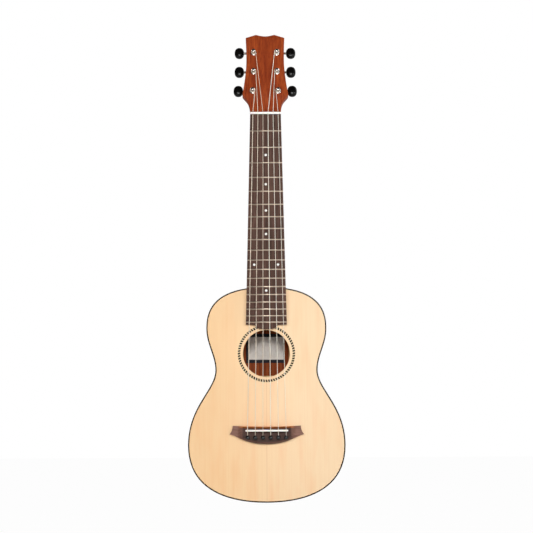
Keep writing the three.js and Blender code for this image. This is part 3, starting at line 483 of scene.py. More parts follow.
@dataclass
class Copies:
    """Geometry Nodes trees that repeat a small piece and give plain mesh back."""

    trees: ClassVar[dict[Layout, NodeTree]] = {}

    @staticmethod
    def _inputs(tree: NodeTree, wanted: dict[str, str]) -> bpy_prop_collection:
        """Gives a tree its named inputs and its output.

        Args:
            tree: The tree.
            wanted: The kind of each input, by the input's name.

        Returns:
            The inputs, as sockets inside the tree.
        """
        for name, kind in wanted.items():
            tree.interface.new_socket(name, in_out="INPUT", socket_type=f"NodeSocket{kind}")
        tree.interface.new_socket("Geometry", in_out="OUTPUT", socket_type="NodeSocketGeometry")
        return put(tree, "NodeGroupInput").outputs

    @staticmethod
    def _lined_up(add: Add, count: NodeSocket, where: Node) -> Node:
        """Makes as many points as are wanted and moves each to its place.

        Args:
            add: Adds a node to the tree.
            count: The number of points.
            where: The rule that places a point by its index.

        Returns:
            The node that gives the points.
        """
        line = add("GeometryNodeMeshLine", {"Count": count, "Offset": (0, 0, 0)})
        return add("GeometryNodeSetPosition", {"Geometry": line, "Position": where})

    @staticmethod
    def _copied(add: Add, given: bpy_prop_collection, points: Source, **laid: Any) -> None:
        """Sets the copies and ends the tree in Realize Instances and Set Material.

        Args:
            add: Adds a node to the tree.
            given: The tree's inputs.
            points: What gives the points that take a copy each.
            laid: The copies' Rotation or Scale.
        """
        copy = add("GeometryNodeObjectInfo", {"Object": given["Copy"]})
        copies = add("GeometryNodeInstanceOnPoints",
                     {"Points": points, "Instance": copy.outputs["Geometry"], **laid})
        real = add("GeometryNodeRealizeInstances", {"Geometry": copies})
        dressed = add("GeometryNodeSetMaterial", {"Geometry": real, "Material": given["Material"]})
        add("NodeGroupOutput", {"Geometry": dressed})

    @classmethod
    def _at_places(cls, tree: NodeTree) -> None:
        """Sets a copy at every point of the mesh that carries the modifier."""
        given = cls._inputs(tree, {"Places": "Geometry", "Copy": "Object", "Turn": "Rotation",
                                   "Material": "Material"})
        cls._copied(partial(put, tree), given, given["Places"], Rotation=given["Turn"])

    @classmethod
    def _on_frets(cls, tree: NodeTree) -> None:
        """Sets a copy at every fret of a scale and stretches it to the board's width there.

        Args:
            tree: The empty tree.
        """
        given = cls._inputs(tree, {"Copy": "Object", "Frets": "Int", "Scale Length": "Float",
                                   "Nut Half": "Float", "Taper": "Float", "Height": "Float",
                                   "Material": "Material"})
        add = partial(put, tree)
        index = add("GeometryNodeInputIndex")
        octaves = add("Math", {0: index, 1: -1 / 12, 2: -1 / 12}, operation="MULTIPLY_ADD")
        left = add("Math", {0: 2.0, 1: octaves}, operation="POWER")
        share = add("Math", {0: left, 1: 1.0}, operation="SUBTRACT")
        place = add("Math", {0: share, 1: given["Scale Length"]}, operation="MULTIPLY")
        spread = add("Math", {0: place, 1: given["Taper"]}, operation="MULTIPLY")
        half = add("Math", {0: given["Nut Half"], 1: spread}, operation="SUBTRACT")
        where = add("CombineXYZ", {"Y": given["Height"], "Z": place})
        size = add("CombineXYZ", {"X": half, "Y": 1.0, "Z": 1.0})
        cls._copied(add, given, cls._lined_up(add, given["Frets"], where), Scale=size)

    @classmethod
    def _round_a_ring(cls, tree: NodeTree) -> None:
        """Sets a copy at every step round a ring in X and Z, each turned with the ring.

        Args:
            tree: The empty tree.
        """
        given = cls._inputs(tree, {"Copy": "Object", "Steps": "Int", "Radius": "Float",
                                   "Centre": "Vector", "Material": "Material"})
        add = partial(put, tree)
        index = add("GeometryNodeInputIndex")
        step = add("Math", {0: 2 * math.pi, 1: given["Steps"]}, operation="DIVIDE")
        angle = add("Math", {0: index, 1: step}, operation="MULTIPLY")
        cosine = add("Math", {0: angle}, operation="COSINE")
        sine = add("Math", {0: angle}, operation="SINE")
        way = add("CombineXYZ", {"X": cosine, "Z": sine})
        away = add("VectorMath", {0: way, "Scale": given["Radius"]}, operation="SCALE")
        where = add("VectorMath", {0: away, 1: given["Centre"]}, operation="ADD")
        back = add("Math", {0: angle, 1: -1.0}, operation="MULTIPLY")
        turn = add("CombineXYZ", {"Y": back})
        rotation = add("FunctionNodeEulerToRotation", {"Euler": turn})
        cls._copied(add, given, cls._lined_up(add, given["Steps"], where), Rotation=rotation)

    @classmethod
    def tree(cls, layout: Layout) -> NodeTree:
        """Builds the tree of a layout at its first use.

        Args:
            layout: The way that the copies are set out.

        Returns:
            The tree.
        """
        if layout not in cls.trees:
            build = {Layout.AT_PLACES: cls._at_places, Layout.ON_FRETS: cls._on_frets,
                     Layout.ROUND_A_RING: cls._round_a_ring}[layout]
            cls.trees[layout] = bpy.data.node_groups.new(layout.value, "GeometryNodeTree")
            build(cls.trees[layout])
        return cls.trees[layout]

    @classmethod
    def run(cls, name: str, layout: Layout, copy: Object,
            places: Sequence[Point] = (), **values: Any) -> Object:
        """Repeats a small piece and returns the result as plain mesh.

        Args:
            name: The name of the piece that comes out.
            layout: The way that the copies are set out.
            copy: The small piece, which is used up.
            places: Points in millimetres, for the layout that takes them.
            values: Inputs of the tree, with an underscore for each space.

        Returns:
            One object that holds all copies.
        """
        piece = set_out(meshed(name, places))
        tree = cls.tree(layout)
        modifier = piece.modifiers.new("copies", "NODES")
        modifier.node_group = tree
        values = {"Copy": copy, **{key.replace("_", " "): value for key, value in values.items()}}
        for socket in tree.interface.items_tree:
            if socket.in_out == "INPUT" and socket.name in values:
                modifier[socket.identifier] = values[socket.name]
        baked(piece)
        bpy.data.objects.remove(copy)
        return piece


# Finishes


@dataclass(frozen=True)
class Finish(ABC):
    """A surface finish that becomes one material."""

    name: str
    made: ClassVar[dict[str, Material]] = {}

    @abstractmethod
    def shade(self, add: Add) -> dict[str, Any]:
        """Builds the pattern.

        Args:
            add: Adds a node to the material's tree, as put does.

        Returns:
            What each input of the shader is linked to or set to.
        """

    def material(self) -> Material:
        """Builds the material at its first use.

        Returns:
            The material.
        """
        if self.name not in Finish.made:
            Finish.made[self.name] = bpy.data.materials.new(self.name)
            add = fresh_tree(Finish.made[self.name])
            shader = add("BsdfPrincipled", self.shade(add))
            add("OutputMaterial", {"Surface": shader})
        return Finish.made[self.name]

    def on(self, piece: Object) -> Object:
        """Dresses a piece in this finish.

        Args:
            piece: The piece.

        Returns:
            The same piece.
        """
        piece.data.materials.clear()
        piece.data.materials.append(self.material())
        return piece

    def inside(self, piece: Object, inward: Point) -> None:
        """Gives the faces that look inward this finish as a piece's second one.

        Args:
            piece: A piece that has its outer finish.
            inward: The direction in which its inner faces look.
        """
        piece.data.materials.append(self.material())
        for face in piece.data.polygons:
            if face.normal.dot(Vector(inward)) > 0.9:
                face.material_index = 1


def drawn_out(add: Add, place: Source, size: Point, **values: float) -> Node:
    """Lays a cloudy pattern that is drawn out to a real size each way.

    Args:
        add: Adds a node to the material's tree.
        place: The coordinates.
        size: The pattern's size in millimetres along X, Y and Z.
        values: Inputs of the noise.

    Returns:
        The node that gives the pattern.
    """
    scaled = add("Mapping", {"Vector": place, "Scale": [1 / (length * MM) for length in size]})
    return add("TexNoise", {"Vector": scaled, "Scale": 1.0, **values})


@dataclass(frozen=True)
class Timber(Finish):
    """A solid timber: growth lines, a slow drift of tone, and open pores.

    The colours are the light wood, the darker growth line and the pores. The grain width is the
    distance between growth lines in millimetres, and pores are drawn about half as wide. Lines
    and pores run along the fibres for as many grain widths as the stretches say.
    """

    light: str
    dark: str
    pore: str
    grain_width: float
    grain: Grain = Grain.UP_THE_NECK
    stretch: float = 45
    drift_stretch: float = 70
    pore_stretch: float = 8
    drift: float = 0.5
    pore_share: float = 0.35
    roughness: float = 0.45
    bump: float = 0.05
    coat: float = 0.0
    gloss: float = 0.25

    def shade(self, add: Add) -> dict[str, Any]:
        """Lays growth lines, drift and pores along the fibres.

        Args:
            add: Adds a node to the material's tree.

        Returns:
            The shader's inputs.
        """
        place = add("TexCoord").outputs["Object"]
        turn = (0, math.pi / 2 if self.grain is Grain.ACROSS_THE_BODY else 0, 0)
        laid = add("Mapping", {"Vector": place, "Rotation": turn})
        width, bent = self.grain_width, self.grain is Grain.ROUND_THE_BODY
        along = width * self.stretch
        lines = drawn_out(add, laid, (along if bent else width, width * (1 if bent else 2), along),
                          Detail=3.0, Roughness=0.6, Distortion=0.2)
        colour = add("ValToRGB", {"Fac": lines}, stops=[(0.34, self.dark), (0.62, self.light)])
        along = width * self.drift_stretch
        slow = drawn_out(add, laid, (along if bent else width * 3.2, width * 6, along), Detail=2.0)
        shift = add("MapRange", {
            "Value": slow, "From Min": 0.35, "From Max": 0.65, "To Min": 0.0,
            "To Max": self.drift})
        toned = add("Mix", {SHARE: shift, UNDER: colour, OVER: linear(self.dark)}, data_type="RGBA")
        along = width * self.pore_stretch
        pores = drawn_out(add, laid, (along if bent else width * 0.45, width * 0.6, along),
                          Detail=1.0)
        holes = add("MapRange", {
            "Value": pores, "From Min": 0.56, "From Max": 0.68, "To Min": 0.0,
            "To Max": self.pore_share})
        final = add("Mix", {SHARE: holes, UNDER: toned, OVER: linear(self.pore)}, data_type="RGBA")
        dent = add("Bump", {
            "Height": holes, "Strength": 0.5, "Distance": self.bump * MM}, invert=True)
        return {"Base Color": final, "Normal": dent, "Roughness": self.roughness,
                "Specular IOR Level": self.gloss, "Coat Weight": self.coat,
                "Coat Roughness": 0.18}


@dataclass(frozen=True)
class BridgeTimber(Timber):
    """A timber with painted shade on the bridge's thick middle and a painted highlight on its top
    edge.

    The painted shade ends on the ramps, which lie between two distances from the middle line. The
    painted highlight lies along the top edge, over the thick middle only: the top edge is a hollow
    line, given by its ends' place and how much further down its middle lies.
    """

    # Painted shade: its colour over the thick middle and how much of it is laid.
    painted_shade: str = "#1f120d"
    painted_shade_share: float = 0.6
    ramp: Flat = (34, 48)
    # Painted highlight: its colour and its width along the top edge.
    edge: str = "#d9813f"
    highlight_width: float = 3.4
    top: Flat = (54, 504.4)
    dip: float = 1.5

    def shade(self, add: Add) -> dict[str, Any]:
        """Lays the painted shade and the painted highlight over the plain timber.

        Args:
            add: Adds a node to the material's tree.

        Returns:
            The shader's inputs.
        """
        plain = super().shade(add)
        place = add("TexCoord").outputs["Object"]
        x, _, z = add("SeparateXYZ", {0: place}).outputs
        across = add("Math", {0: x}, operation="ABSOLUTE")
        # Painted shade: the thick middle between the ramps is darkened.
        middle = add("MapRange", {
            "Value": across, "From Min": self.ramp[1] * MM, "From Max": self.ramp[0] * MM},
            interpolation_type="SMOOTHSTEP")
        share = add("Math", {0: middle, 1: self.painted_shade_share}, operation="MULTIPLY")
        dark = add("Mix", {
            SHARE: share, UNDER: plain["Base Color"], OVER: linear(self.painted_shade)}, data_type="RGBA")
        # Painted highlight: a band along the hollow top edge, over the thick middle only, is
        # lightened.
        square = add("Math", {0: x, 1: x}, operation="MULTIPLY")
        line = add("Math", {
            0: square, 1: self.dip / self.top[0] ** 2 / MM, 2: -(self.top[1] + self.dip) * MM},
            operation="MULTIPLY_ADD")
        below = add("Math", {0: line, 1: z}, operation="SUBTRACT")
        lit = add("MapRange", {
            "Value": below, "From Min": self.highlight_width * MM,
            "From Max": self.highlight_width * 0.5 * MM})
        painted_highlight = add("Math", {0: lit, 1: middle}, operation="MULTIPLY")
        final = add("Mix", {SHARE: painted_highlight, UNDER: dark, OVER: linear(self.edge)}, data_type="RGBA")
        return {**plain, "Base Color": final}


@dataclass(frozen=True)
class SpruceTop(Finish):
    """A spruce soundboard under satin lacquer: two book-matched halves with a centre seam.

    Real growth lines are 1 to 2 mm apart. They are drawn 2.2 mm apart so that they show.
    """

    # Painted light: the treble colour is paler, as if the light fell more strongly on that side.
    bass: str = "#fbd3a2"
    treble: str = "#fcddb5"
    line: str = "#ecba82"
    flame: str = "#f4ad70"
    glue: str = "#c98f52"
    line_size: Point = (2.2, 8, 260)
    flame_size: Point = (16, 20, 90)
    flame_grows: Flat = (-460, -600)
    painted_light_blend: Flat = (-100, 90)
    seam: Flat = (0.25, 0.7)

    def shade(self, add: Add) -> dict[str, Any]:
        """Mirrors the growth lines about the seam and lightens the treble side with painted light.

        Args:
            add: Adds a node to the material's tree.

        Returns:
            The shader's inputs.
        """
        place = add("TexCoord").outputs["Object"]
        x, y, z = add("SeparateXYZ", {0: place}).outputs
        matched = add("Math", {0: x}, operation="ABSOLUTE")
        folded = add("CombineXYZ", {"X": matched, "Y": y, "Z": z})
        lines = drawn_out(add, folded, self.line_size, Detail=3.0, Roughness=0.55)
        lined = add("MapRange", {
            "Value": lines, "From Min": 0.4, "From Max": 0.75, "To Min": 0.0, "To Max": 0.16})
        # Painted light: the colour blends from the bass side to the lighter treble side across X.
        side = add("MapRange", {
            "Value": x, "From Min": self.painted_light_blend[0] * MM,
            "From Max": self.painted_light_blend[1] * MM}, interpolation_type="SMOOTHSTEP")
        flame = drawn_out(add, place, self.flame_size, Detail=2.0)
        # The flame grows stronger from the bridge down.
        low = add("MapRange", {
            "Value": z, "From Min": self.flame_grows[0] * MM,
            "From Max": self.flame_grows[1] * MM, "To Min": 0.18, "To Max": 0.32})
        streak = add("MapRange", {
            "Value": flame, "From Min": 0.45, "From Max": 0.75, "To Min": 0.0, "To Max": low})
        seam = add("MapRange", {
            "Value": matched, "From Min": self.seam[0] * MM, "From Max": self.seam[1] * MM,
            "To Min": 0.3, "To Max": 0.0})
        wood: Any = linear(self.bass)
        for share, colour in ((side, self.treble), (lined, self.line), (streak, self.flame),
                              (seam, self.glue)):
            wood = add("Mix", {SHARE: share, UNDER: wood, OVER: linear(colour)}, data_type="RGBA")
        dent = add("Bump", {"Height": lined, "Strength": 0.3, "Distance": 0.03 * MM}, invert=True)
        return {"Base Color": wood, "Normal": dent, "Roughness": 0.5,
                "Specular IOR Level": 0.25, "Coat Weight": 0.05, "Coat Roughness": 0.3}


@dataclass(frozen=True)
class Mottled(Finish):
    """A cast, cut or polished surface with a soft mottle, such as bone, plastic or plated steel.

    The two colours differ by as much as the eye sees on the real surface, and the sizes of the
    mottle and of the fine grit that makes the bump are in millimetres.
    """

    base: str
    shade_colour: str
    mottle: float = 6
    roughness: float = 0.3
    roughness_drift: float = 0.06
    metallic: float = 0.0
    bump: float = 0.004
    grit: float = 0.6
    subsurface: float = 0.0
    depth: float = 1.5
    shine: float = 0.5

    def shade(self, add: Add) -> dict[str, Any]:
        """Drifts colour and roughness over the surface and lays the fine bump.

        Args:
            add: Adds a node to the material's tree.

        Returns:
            The shader's inputs.
        """
        place = add("TexCoord").outputs["Object"]
        cloud = add("TexNoise", {"Vector": place, "Scale": 1 / (self.mottle * MM), "Detail": 3.0})
        colour = add("ValToRGB", {"Fac": cloud},
                     stops=[(0.35, self.shade_colour), (0.65, self.base)])
        matt = add("MapRange", {
            "Value": cloud, "From Min": 0.3, "From Max": 0.7, "To Min": self.roughness,
            "To Max": self.roughness + self.roughness_drift})
        fine = add("TexNoise", {"Vector": place, "Scale": 1 / (self.grit * MM), "Detail": 2.0})
        dent = add("Bump", {"Height": fine, "Strength": 0.4, "Distance": self.bump * MM})
        return {"Base Color": colour, "Roughness": matt, "Normal": dent,
                "Metallic": self.metallic, "Specular IOR Level": self.shine,
                "Subsurface Weight": self.subsurface, "Subsurface Scale": self.depth * MM}


@dataclass(frozen=True)
class StringFinish(Finish):
    """A nylon string, plain and smooth or wound with fine plated wire.

    The winding's real pitch is about 0.2 mm. It is drawn as wide as the pitch given here. A plain
    string has no pitch: its two tones change slowly and light goes into it by its depth.
    """

    base: str
    low: str
    roughness: float
    pitch: float = 0
    slow: float = 3
    depth: float = 0.0

    def shade(self, add: Add) -> dict[str, Any]:
        """Bands the string across its length where it is wound.

        Args:
            add: Adds a node to the material's tree.

        Returns:
            The shader's inputs.
        """
        place = add("TexCoord").outputs["Object"]
        # Blender's band texture repeats every pi / 10 of a unit at scale 1.
        bands = add("TexWave", {
            "Vector": place, "Scale": math.pi / (10 * (self.pitch or self.slow) * MM),
            "Distortion": 0.0}, wave_type="BANDS", bands_direction="Z",
            wave_profile="SIN").outputs["Fac"]
        colour = add("ValToRGB", {"Fac": bands}, stops=[(0.1, self.low), (0.7, self.base)])
        given = {"Base Color": colour, "Roughness": self.roughness}
        if self.pitch:
            given["Normal"] = add("Bump", {"Height": bands, "Strength": 0.6, "Distance": 0.06 * MM})
        if self.depth:
            given |= {"Subsurface Weight": 1.0, "Subsurface Radius": (1, 1, 1),
                      "Subsurface Scale": self.depth * MM}
        return given


@dataclass(frozen=True)
class LabelPaper(Finish):
    """Laid paper with a dark printed border near its edge and nothing else on it."""

    middle: Flat
    size: Flat
    border: Flat = (2.25, 5.2)
    blur: float = 0.3
    printed_aside: float = 1.35
    sheet: tuple[str, str] = ("#f3ebe1", "#fdf7ef")
    ink: str = "#26262c"

    def shade(self, add: Add) -> dict[str, Any]:
        """Prints the border by the distance to the nearest edge.

        Args:
            add: Adds a node to the material's tree.

        Returns:
            The shader's inputs.
        """
        place = add("TexCoord").outputs["Object"]
        x, _, z = add("SeparateXYZ", {0: place}).outputs
        across, along = self.middle
        inks = []
        for socket, middle, size, border in zip((x, z), (across + self.printed_aside, along),
                                                self.size, self.border):
            off = add("Math", {0: socket, 1: middle * MM}, operation="SUBTRACT")
            away = add("Math", {0: off}, operation="ABSOLUTE")
            edge = size / 2 - border
            inks.append(add("MapRange", {
                "Value": away, "From Min": (edge - self.blur) * MM, "From Max": edge * MM}))
        ink = add("Math", {0: inks[0], 1: inks[1]}, operation="MAXIMUM")
        fibre = add("TexNoise", {"Vector": place, "Scale": 1 / (3 * MM), "Detail": 4.0})
        paper = add("ValToRGB", {"Fac": fibre}, stops=list(zip((0.3, 0.7), self.sheet)))
        final = add("Mix", {SHARE: ink, UNDER: paper, OVER: linear(self.ink)}, data_type="RGBA")
        dent = add("Bump", {"Height": fibre, "Strength": 0.3, "Distance": 0.05 * MM})
        return {"Base Color": final, "Normal": dent, "Roughness": 0.85}


# Pale spruce under satin lacquer: straight fine lines, a faint flame and a soft sheen.
SPRUCE_TOP = SpruceTop("lacquered_spruce_top")
# Planed spruce without lacquer: the same wood, warmer and quite matt.
SPRUCE_BRACE = Timber("planed_spruce_brace", "#e9c592", "#cf9f63", "#b98a50", 2.0,
                      pore_share=0.1, roughness=0.7)
# Open-pored mahogany under a thin satin lacquer: red-brown with short dark pores.
NECK_MAHOGANY = Timber("satin_mahogany_neck", "#ae4e20", "#7e2d11", "#4d1a08", 3.4,
                       drift=0.55, pore_share=0.3, roughness=0.5, gloss=0.12)
# The same timber with more lacquer on back and sides: browner, with a broader shine.
BACK_MAHOGANY = Timber("satin_mahogany_back", "#a5552b", "#74351a", "#4a2311", 3.0,
                       pore_share=0.4, roughness=0.36, coat=0.2)
SIDE_MAHOGANY = replace(BACK_MAHOGANY, name="satin_mahogany_side", grain=Grain.ROUND_THE_BODY)
# Mahogany as it leaves the scraper, inside the body: dry and matt.
INNER_MAHOGANY = Timber("raw_mahogany_inside", "#b3592b", "#853b15", "#55230d", 2.8,
                        pore_share=0.4, roughness=0.75)
BLOCK_MAHOGANY = Timber("raw_mahogany_block", "#9a5f3a", "#7d4728", "#5b3018", 2.2,
                        pore_share=0.4, roughness=0.75)
# Sawn basswood strips: pale, plain and matt.
LINING_WOOD = Timber("kerfed_lining_wood", "#d8b283", "#bf925f", "#a2784b", 1.6,
                     pore_share=0.15, roughness=0.7)
# Dense dark timber, scraped and oiled: no lacquer, so it stays matt and streaked.
BOARD_ROSEWOOD = Timber("oiled_rosewood_board", "#694c41", "#46332c", "#2c201b", 1.8,
                        pore_share=0.45, roughness=0.6, gloss=0.12)
# The same timber across the body, sanded finer: lighter ramps beside a middle darkened by painted
# shade, a painted highlight along the top edge, and a little more sheen.
BRIDGE_ROSEWOOD = BridgeTimber("oiled_rosewood_bridge", "#946c5e", "#714e40", "#42291f", 1.8,
                               grain=Grain.ACROSS_THE_BODY, drift=0.4, roughness=0.5)
# Dyed strip under a dull finish: nearly black, with no shine.
BINDING_WOOD = Timber("dark_binding_wood", "#35241b", "#241711", "#180f0a", 1.5,
                      pore_share=0.3, roughness=0.6, gloss=0.0)
# Maple let into the top and lacquered with it: creamy and smooth.
INLAY_PALE = Timber("pale_inlay_maple", "#efd9b4", "#dcbf92", "#cfae80", 1.2,
                    pore_share=0.1, roughness=0.4, coat=0.2)
# Dyed walnut wedges: black-brown and flat in tone.
INLAY_DARK = Timber("dark_inlay_walnut", "#1c110b", "#130b07", "#0c0705", 1.2,
                    pore_share=0.2, roughness=0.7, gloss=0.0)
# Bone cut and polished by hand: warm white that lets a little light in.
BONE = Mottled("polished_bone", "#fffefb", "#f8f5ee", mottle=5, roughness=0.28, subsurface=0.2)
# Pressed pearly plastic: milky white with a faint cloud.
SHELL_DOT = Mottled("pearly_plastic_dot", "#fdfcf8", "#efeeea", mottle=1.5)
# Black plastic as it leaves the mould: deep black with a soft highlight.
BLACK_PLASTIC = Mottled("moulded_black_plastic", "#090706", "#050404", mottle=8, roughness=0.2,
                        roughness_drift=0.05, bump=0.002, shine=0.2)
# Black plastic buffed on the wheel: a small sharp highlight on each dome.
PIN_PLASTIC = Mottled("polished_black_pin", "#0b0a09", "#060505", roughness=0.08,
                      roughness_drift=0.04, bump=0.002)
# Bright chrome over brass: mirrors the room, dark and white side by side.
CHROME = Mottled("bright_chrome_plate", "#d6d0cb", "#c0bab5", mottle=4, roughness=0.12,
                 roughness_drift=0.05, metallic=1.0)
# Turned steel under a thin plating: grey with a soft band of light.
SHAFT_STEEL = Mottled("satin_shaft_steel", "#6f6862", "#5a544f", mottle=3, metallic=1.0)
# Nickel silver, filed and polished: a warm grey line that is bright on its crown.
FRET_METAL = Mottled("nickel_silver_fret", "#d2bfac", "#bfac99", mottle=3, roughness=0.28,
                     metallic=1.0)
# Steel bar as it is drawn: dull grey.
ROD_STEEL = Mottled("drawn_rod_steel", "#8d8f92", "#77797c", mottle=4, roughness=0.4,
                    metallic=1.0)
# Clear extruded nylon: light goes through it, so that it looks milky over the wood.
NYLON = StringFinish("clear_nylon", "#fff6e8", "#f6ead8", roughness=0.4, depth=0.6)
# Silvered wire wound on floss: pale, with fine bands across.
WOUND = StringFinish("silver_wound_nylon", "#fbeedb", "#dccbb4", roughness=0.35, pitch=0.45)


# The guitar


@dataclass
class Scale:
    """Sizes that the board, the strings and the body share."""

    length: float = 510
    frets: int = 19
    nut_width: float = 50
    nut_thickness: float = 3.4
    nut_shift: float = 0.9
    end_width: float = 65.5
    board_thickness: float = 6
    past_last_fret: float = 3.7
    body_fret: int = 14
    nut_spacing: float = 8.2
    pin_spacing: float = 12.2
    nut_height: float = 2
    saddle_height: float = 12.5
    diameters: tuple[float, ...] = (0.71, 0.82, 1.02, 0.74, 0.89, 1.09)

    def fret(self, number: int) -> float:
        """Returns how far below the nut line a fret lies."""
        return self.length * (1 - 2 ** (-number / 12))

    @property
    def corner(self) -> float:
        """How far below the nut line the board's end corners lie."""
        return self.fret(self.frets) + self.past_last_fret

    def half(self, place: float) -> float:
        """Returns half of the board's width at a place."""
        return mix(self.nut_width, self.end_width, place / self.corner) / 2

    def across(self, spacing: float) -> list[float]:
        """Returns the X of every string for a spacing, the first on the treble side."""
        count = len(self.diameters)
        return [((count - 1) / 2 - index) * spacing for index in range(count)]


def show(piece: Object, body: str, slot: str, *nodes: str) -> None:
    """Sets a finished piece on its body, in place of the nodes that it stands for.

    Args:
        piece: The finished piece.
        body: The name of the moving body that carries it.
        slot: The material slot's name, which is not used.
        nodes: The nodes that it replaces.
    """
    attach(piece, body)
    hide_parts(*nodes)
    log.info("%s rides on %s, %d faces", piece.name, body, len(piece.data.polygons))


def dress(finish: Finish, *nodes: str) -> None:
    """Gives nodes that keep their own shape a finish.

    Args:
        finish: The finish.
        nodes: The nodes' names.
    """
    for name in nodes:
        finish.on(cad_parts[name])
        log.info("%s keeps its shape in %s", name, finish.name)


@dataclass
class Body:
    """The hollow body: soundboard, rosette, binding, sides, back and what is inside.

    The outline runs through the upper bout, the waist and the lower bout, each with its width and
    its share of the length, and the handles pull each stretch between them.
    """

    scale: Scale
    length: float = 342.3
    widths: tuple[float, float, float] = (192.1, 163.1, 249.9)
    shares: tuple[float, float, float] = (0.194, 0.39, 0.735)
    handles: tuple[Flat, ...] = ((0.954, 0.335), (0.387, 0.354), (0.261, 0.518), (0.824, 0.444))
    depth_heel: float = 72
    depth_tail: float = 78
    plate: float = 2.5
    side: float = 2
    seam: float = 0.05
    binding: Flat = (2, 5)
    top_round: float = 0.35
    back_round: float = 1.1
    binding_round: float = 0.4
    tenon: float = 22.4
    hole_radius: float = 37.5
    hole_place: float = 389.6
    rosette: Flat = (41.7, 45.9)
    rosette_depth: float = 1.2
    glue: float = 0.02
    dashes: int = 68
    dash: Flat = (0.7, 1.7)
    dash_depth: float = 0.5
    dash_inset: float = 0.15
    label: Flat = (63, 48)
    label_above: float = 12.2
    label_aside: float = 1.6

    @property
    def start(self) -> float:
        """The place where the body begins, at the neck."""
        return self.scale.fret(self.scale.body_fret)

    def back(self, z: float) -> float:
        """Returns the depth of the back's outer face at a height."""
        return mix(self.depth_heel, self.depth_tail, (-z - self.start) / self.length)

    def inner_back(self, z: float) -> float:
        """Returns the depth of the back's inner face at a height."""
        return self.back(z) - self.plate

    def half_outline(self, inset: float, steps: int = 22) -> list[Flat]:
        """Walks the treble half of the outline from the neck to the tail.

        Args:
            inset: How far the outline is drawn in.
            steps: The number of steps between two of its fixed points.

        Returns:
            The points.
        """
        tops = [0, *(share * self.length for share in self.shares), self.length]
        halves = [0, *(width / 2 for width in self.widths), 0]
        rows = [(x, -self.start - down) for x, down in zip(halves, tops)]
        points: list[Flat] = []
        for i, ((ax, az), (bx, bz)) in enumerate(zip(rows, rows[1:])):
            out, back = self.handles[i]
            span = az - bz
            leave = (ax + out * bx, az) if i == 0 else (ax, az - out * span)
            reach = (bx + back * ax, bz) if bx == 0 else (bx, bz + back * span)
            walked = curve([(ax, az), leave, reach, (bx, bz)], steps)
            points += walked[1:] if points else walked
        drawn = []
        for i, (x, z) in enumerate(points):
            before, after = points[max(i - 1, 0)], points[min(i + 1, len(points) - 1)]
            dx, dz = after[0] - before[0], after[1] - before[1]
            if i in (0, len(points) - 1):
                dz = 0
            size = math.hypot(dx, dz)
            drawn.append((x + inset * dz / size, z - inset * dx / size))
        return drawn

    def outline(self, inset: float) -> list[Flat]:
        """Returns the whole outline, drawn in by an inset."""
        right = self.half_outline(inset)
        return [(-x, z) for x, z in right[1:-1]] + right[::-1]

    def ring(self, outer: float, inner: float, front: float) -> Shell:
        """Returns a flat ring about the soundhole, from a front face to the rosette's ground."""
        middle = (0.0, -self.hole_place)
        return slab([circle(*middle, outer), circle(*middle, inner)], front, self.rosette_depth)

    def make_top(self) -> None:
        """Makes the soundboard, the rosette and the binding."""
        width, depth = self.binding
        inner, outer = self.rosette
        board = slab([self.outline(width), circle(0.0, -self.hole_place, self.hole_radius)],
                     0, self.plate).piece("spruce_soundboard")
        board = rounded(board, self.top_round, 2, 60)
        combined(board, [self.ring(outer, inner, -5).piece("channel")])
        SPRUCE_TOP.on(board)
        SPRUCE_BRACE.inside(board, (0, 1, 0))
        show(board, "root", "spruce_top", "soundboard")

        ground = self.ring(outer - self.glue, inner + self.glue, 0.06).piece("rosette_ground")
        show(INLAY_PALE.on(ground), "root", "rosette_inlay", "rosette")

        edge = slab([self.outline(0), self.outline(width - self.glue)], 0, depth)
        binding = rounded(edge.piece("wood_binding"), self.binding_round, 3, 60)
        show(BINDING_WOOD.on(binding), "root", "binding_wood", "top_binding")

    def make_dashes(self) -> None:
        """Lets a ring of slanted dark wedges into the rosette, flush with its face."""
        inner, outer = self.rosette
        half = (outer - inner) / 2 - self.dash_inset
        short, long = self.dash
        wedge = slab([[(-half, -long), (-half, short), (half, long), (half, -short)]],
                     0.0, self.dash_depth)
        ring = Copies.run("rosette_wedges", Layout.ROUND_A_RING, wedge.piece("wedge"),
                          Steps=self.dashes, Radius=(inner + outer) / 2 * MM,
                          Centre=(0, 0, -self.hole_place * MM), Material=INLAY_DARK.material())
        show(ring, "root", "rosette_inlay", "rosette")

    def make_sides(self) -> None:
        """Makes the two bent sides, from the tenon round to the tail seam."""
        near = self.tenon / 2
        rims = []
        for inset in (0, self.side):
            rim = self.half_outline(inset)
            kept = [p for p in rim if p[0] > near or p[1] < -self.start - self.length / 2]
            rims.append([(near, rim[0][1]), *kept[:-1], (self.seam, rim[-1][1])])
        for side in Side:
            name = side.name.lower()
            flat = [(side.value * x, z) for x, z in rims[0] + rims[1][::-1]]
            wall = slab([flat], self.binding[1], self.inner_back).piece(f"bent_side_{name}")
            show(SIDE_MAHOGANY.on(wall), "root", "mahogany_body", f"side_{name}")

    def make_back(self) -> None:
        """Makes the back plate with its rounded edge."""
        plate = slab([self.outline(0)], self.inner_back, self.back).piece("mahogany_back")
        BACK_MAHOGANY.on(rounded(plate, self.back_round, 3, 60))
        INNER_MAHOGANY.inside(plate, (0, -1, 0))
        show(plate, "root", "mahogany_body", "back_plate")

    def dress_inside(self) -> None:
        """Dresses the linings, blocks, bars and label."""
        dress(LINING_WOOD, *(f"{plate}_lining_{side.name.lower()}"
                             for plate in ("top", "back") for side in Side))
        dress(BLOCK_MAHOGANY, "heel_block", "tail_block")
        dress(SPRUCE_BRACE, "upper_cross_bar", "top_bracing", "back_bracing")
        middle = (-self.label_aside, self.label_above - self.hole_place)
        dress(LabelPaper("printed_label_paper", middle, self.label), "label")

    def build(self) -> None:
        """Builds the body from the front to the back."""
        self.make_top()
        self.make_dashes()
        self.make_sides()
        self.make_back()
        self.dress_inside()


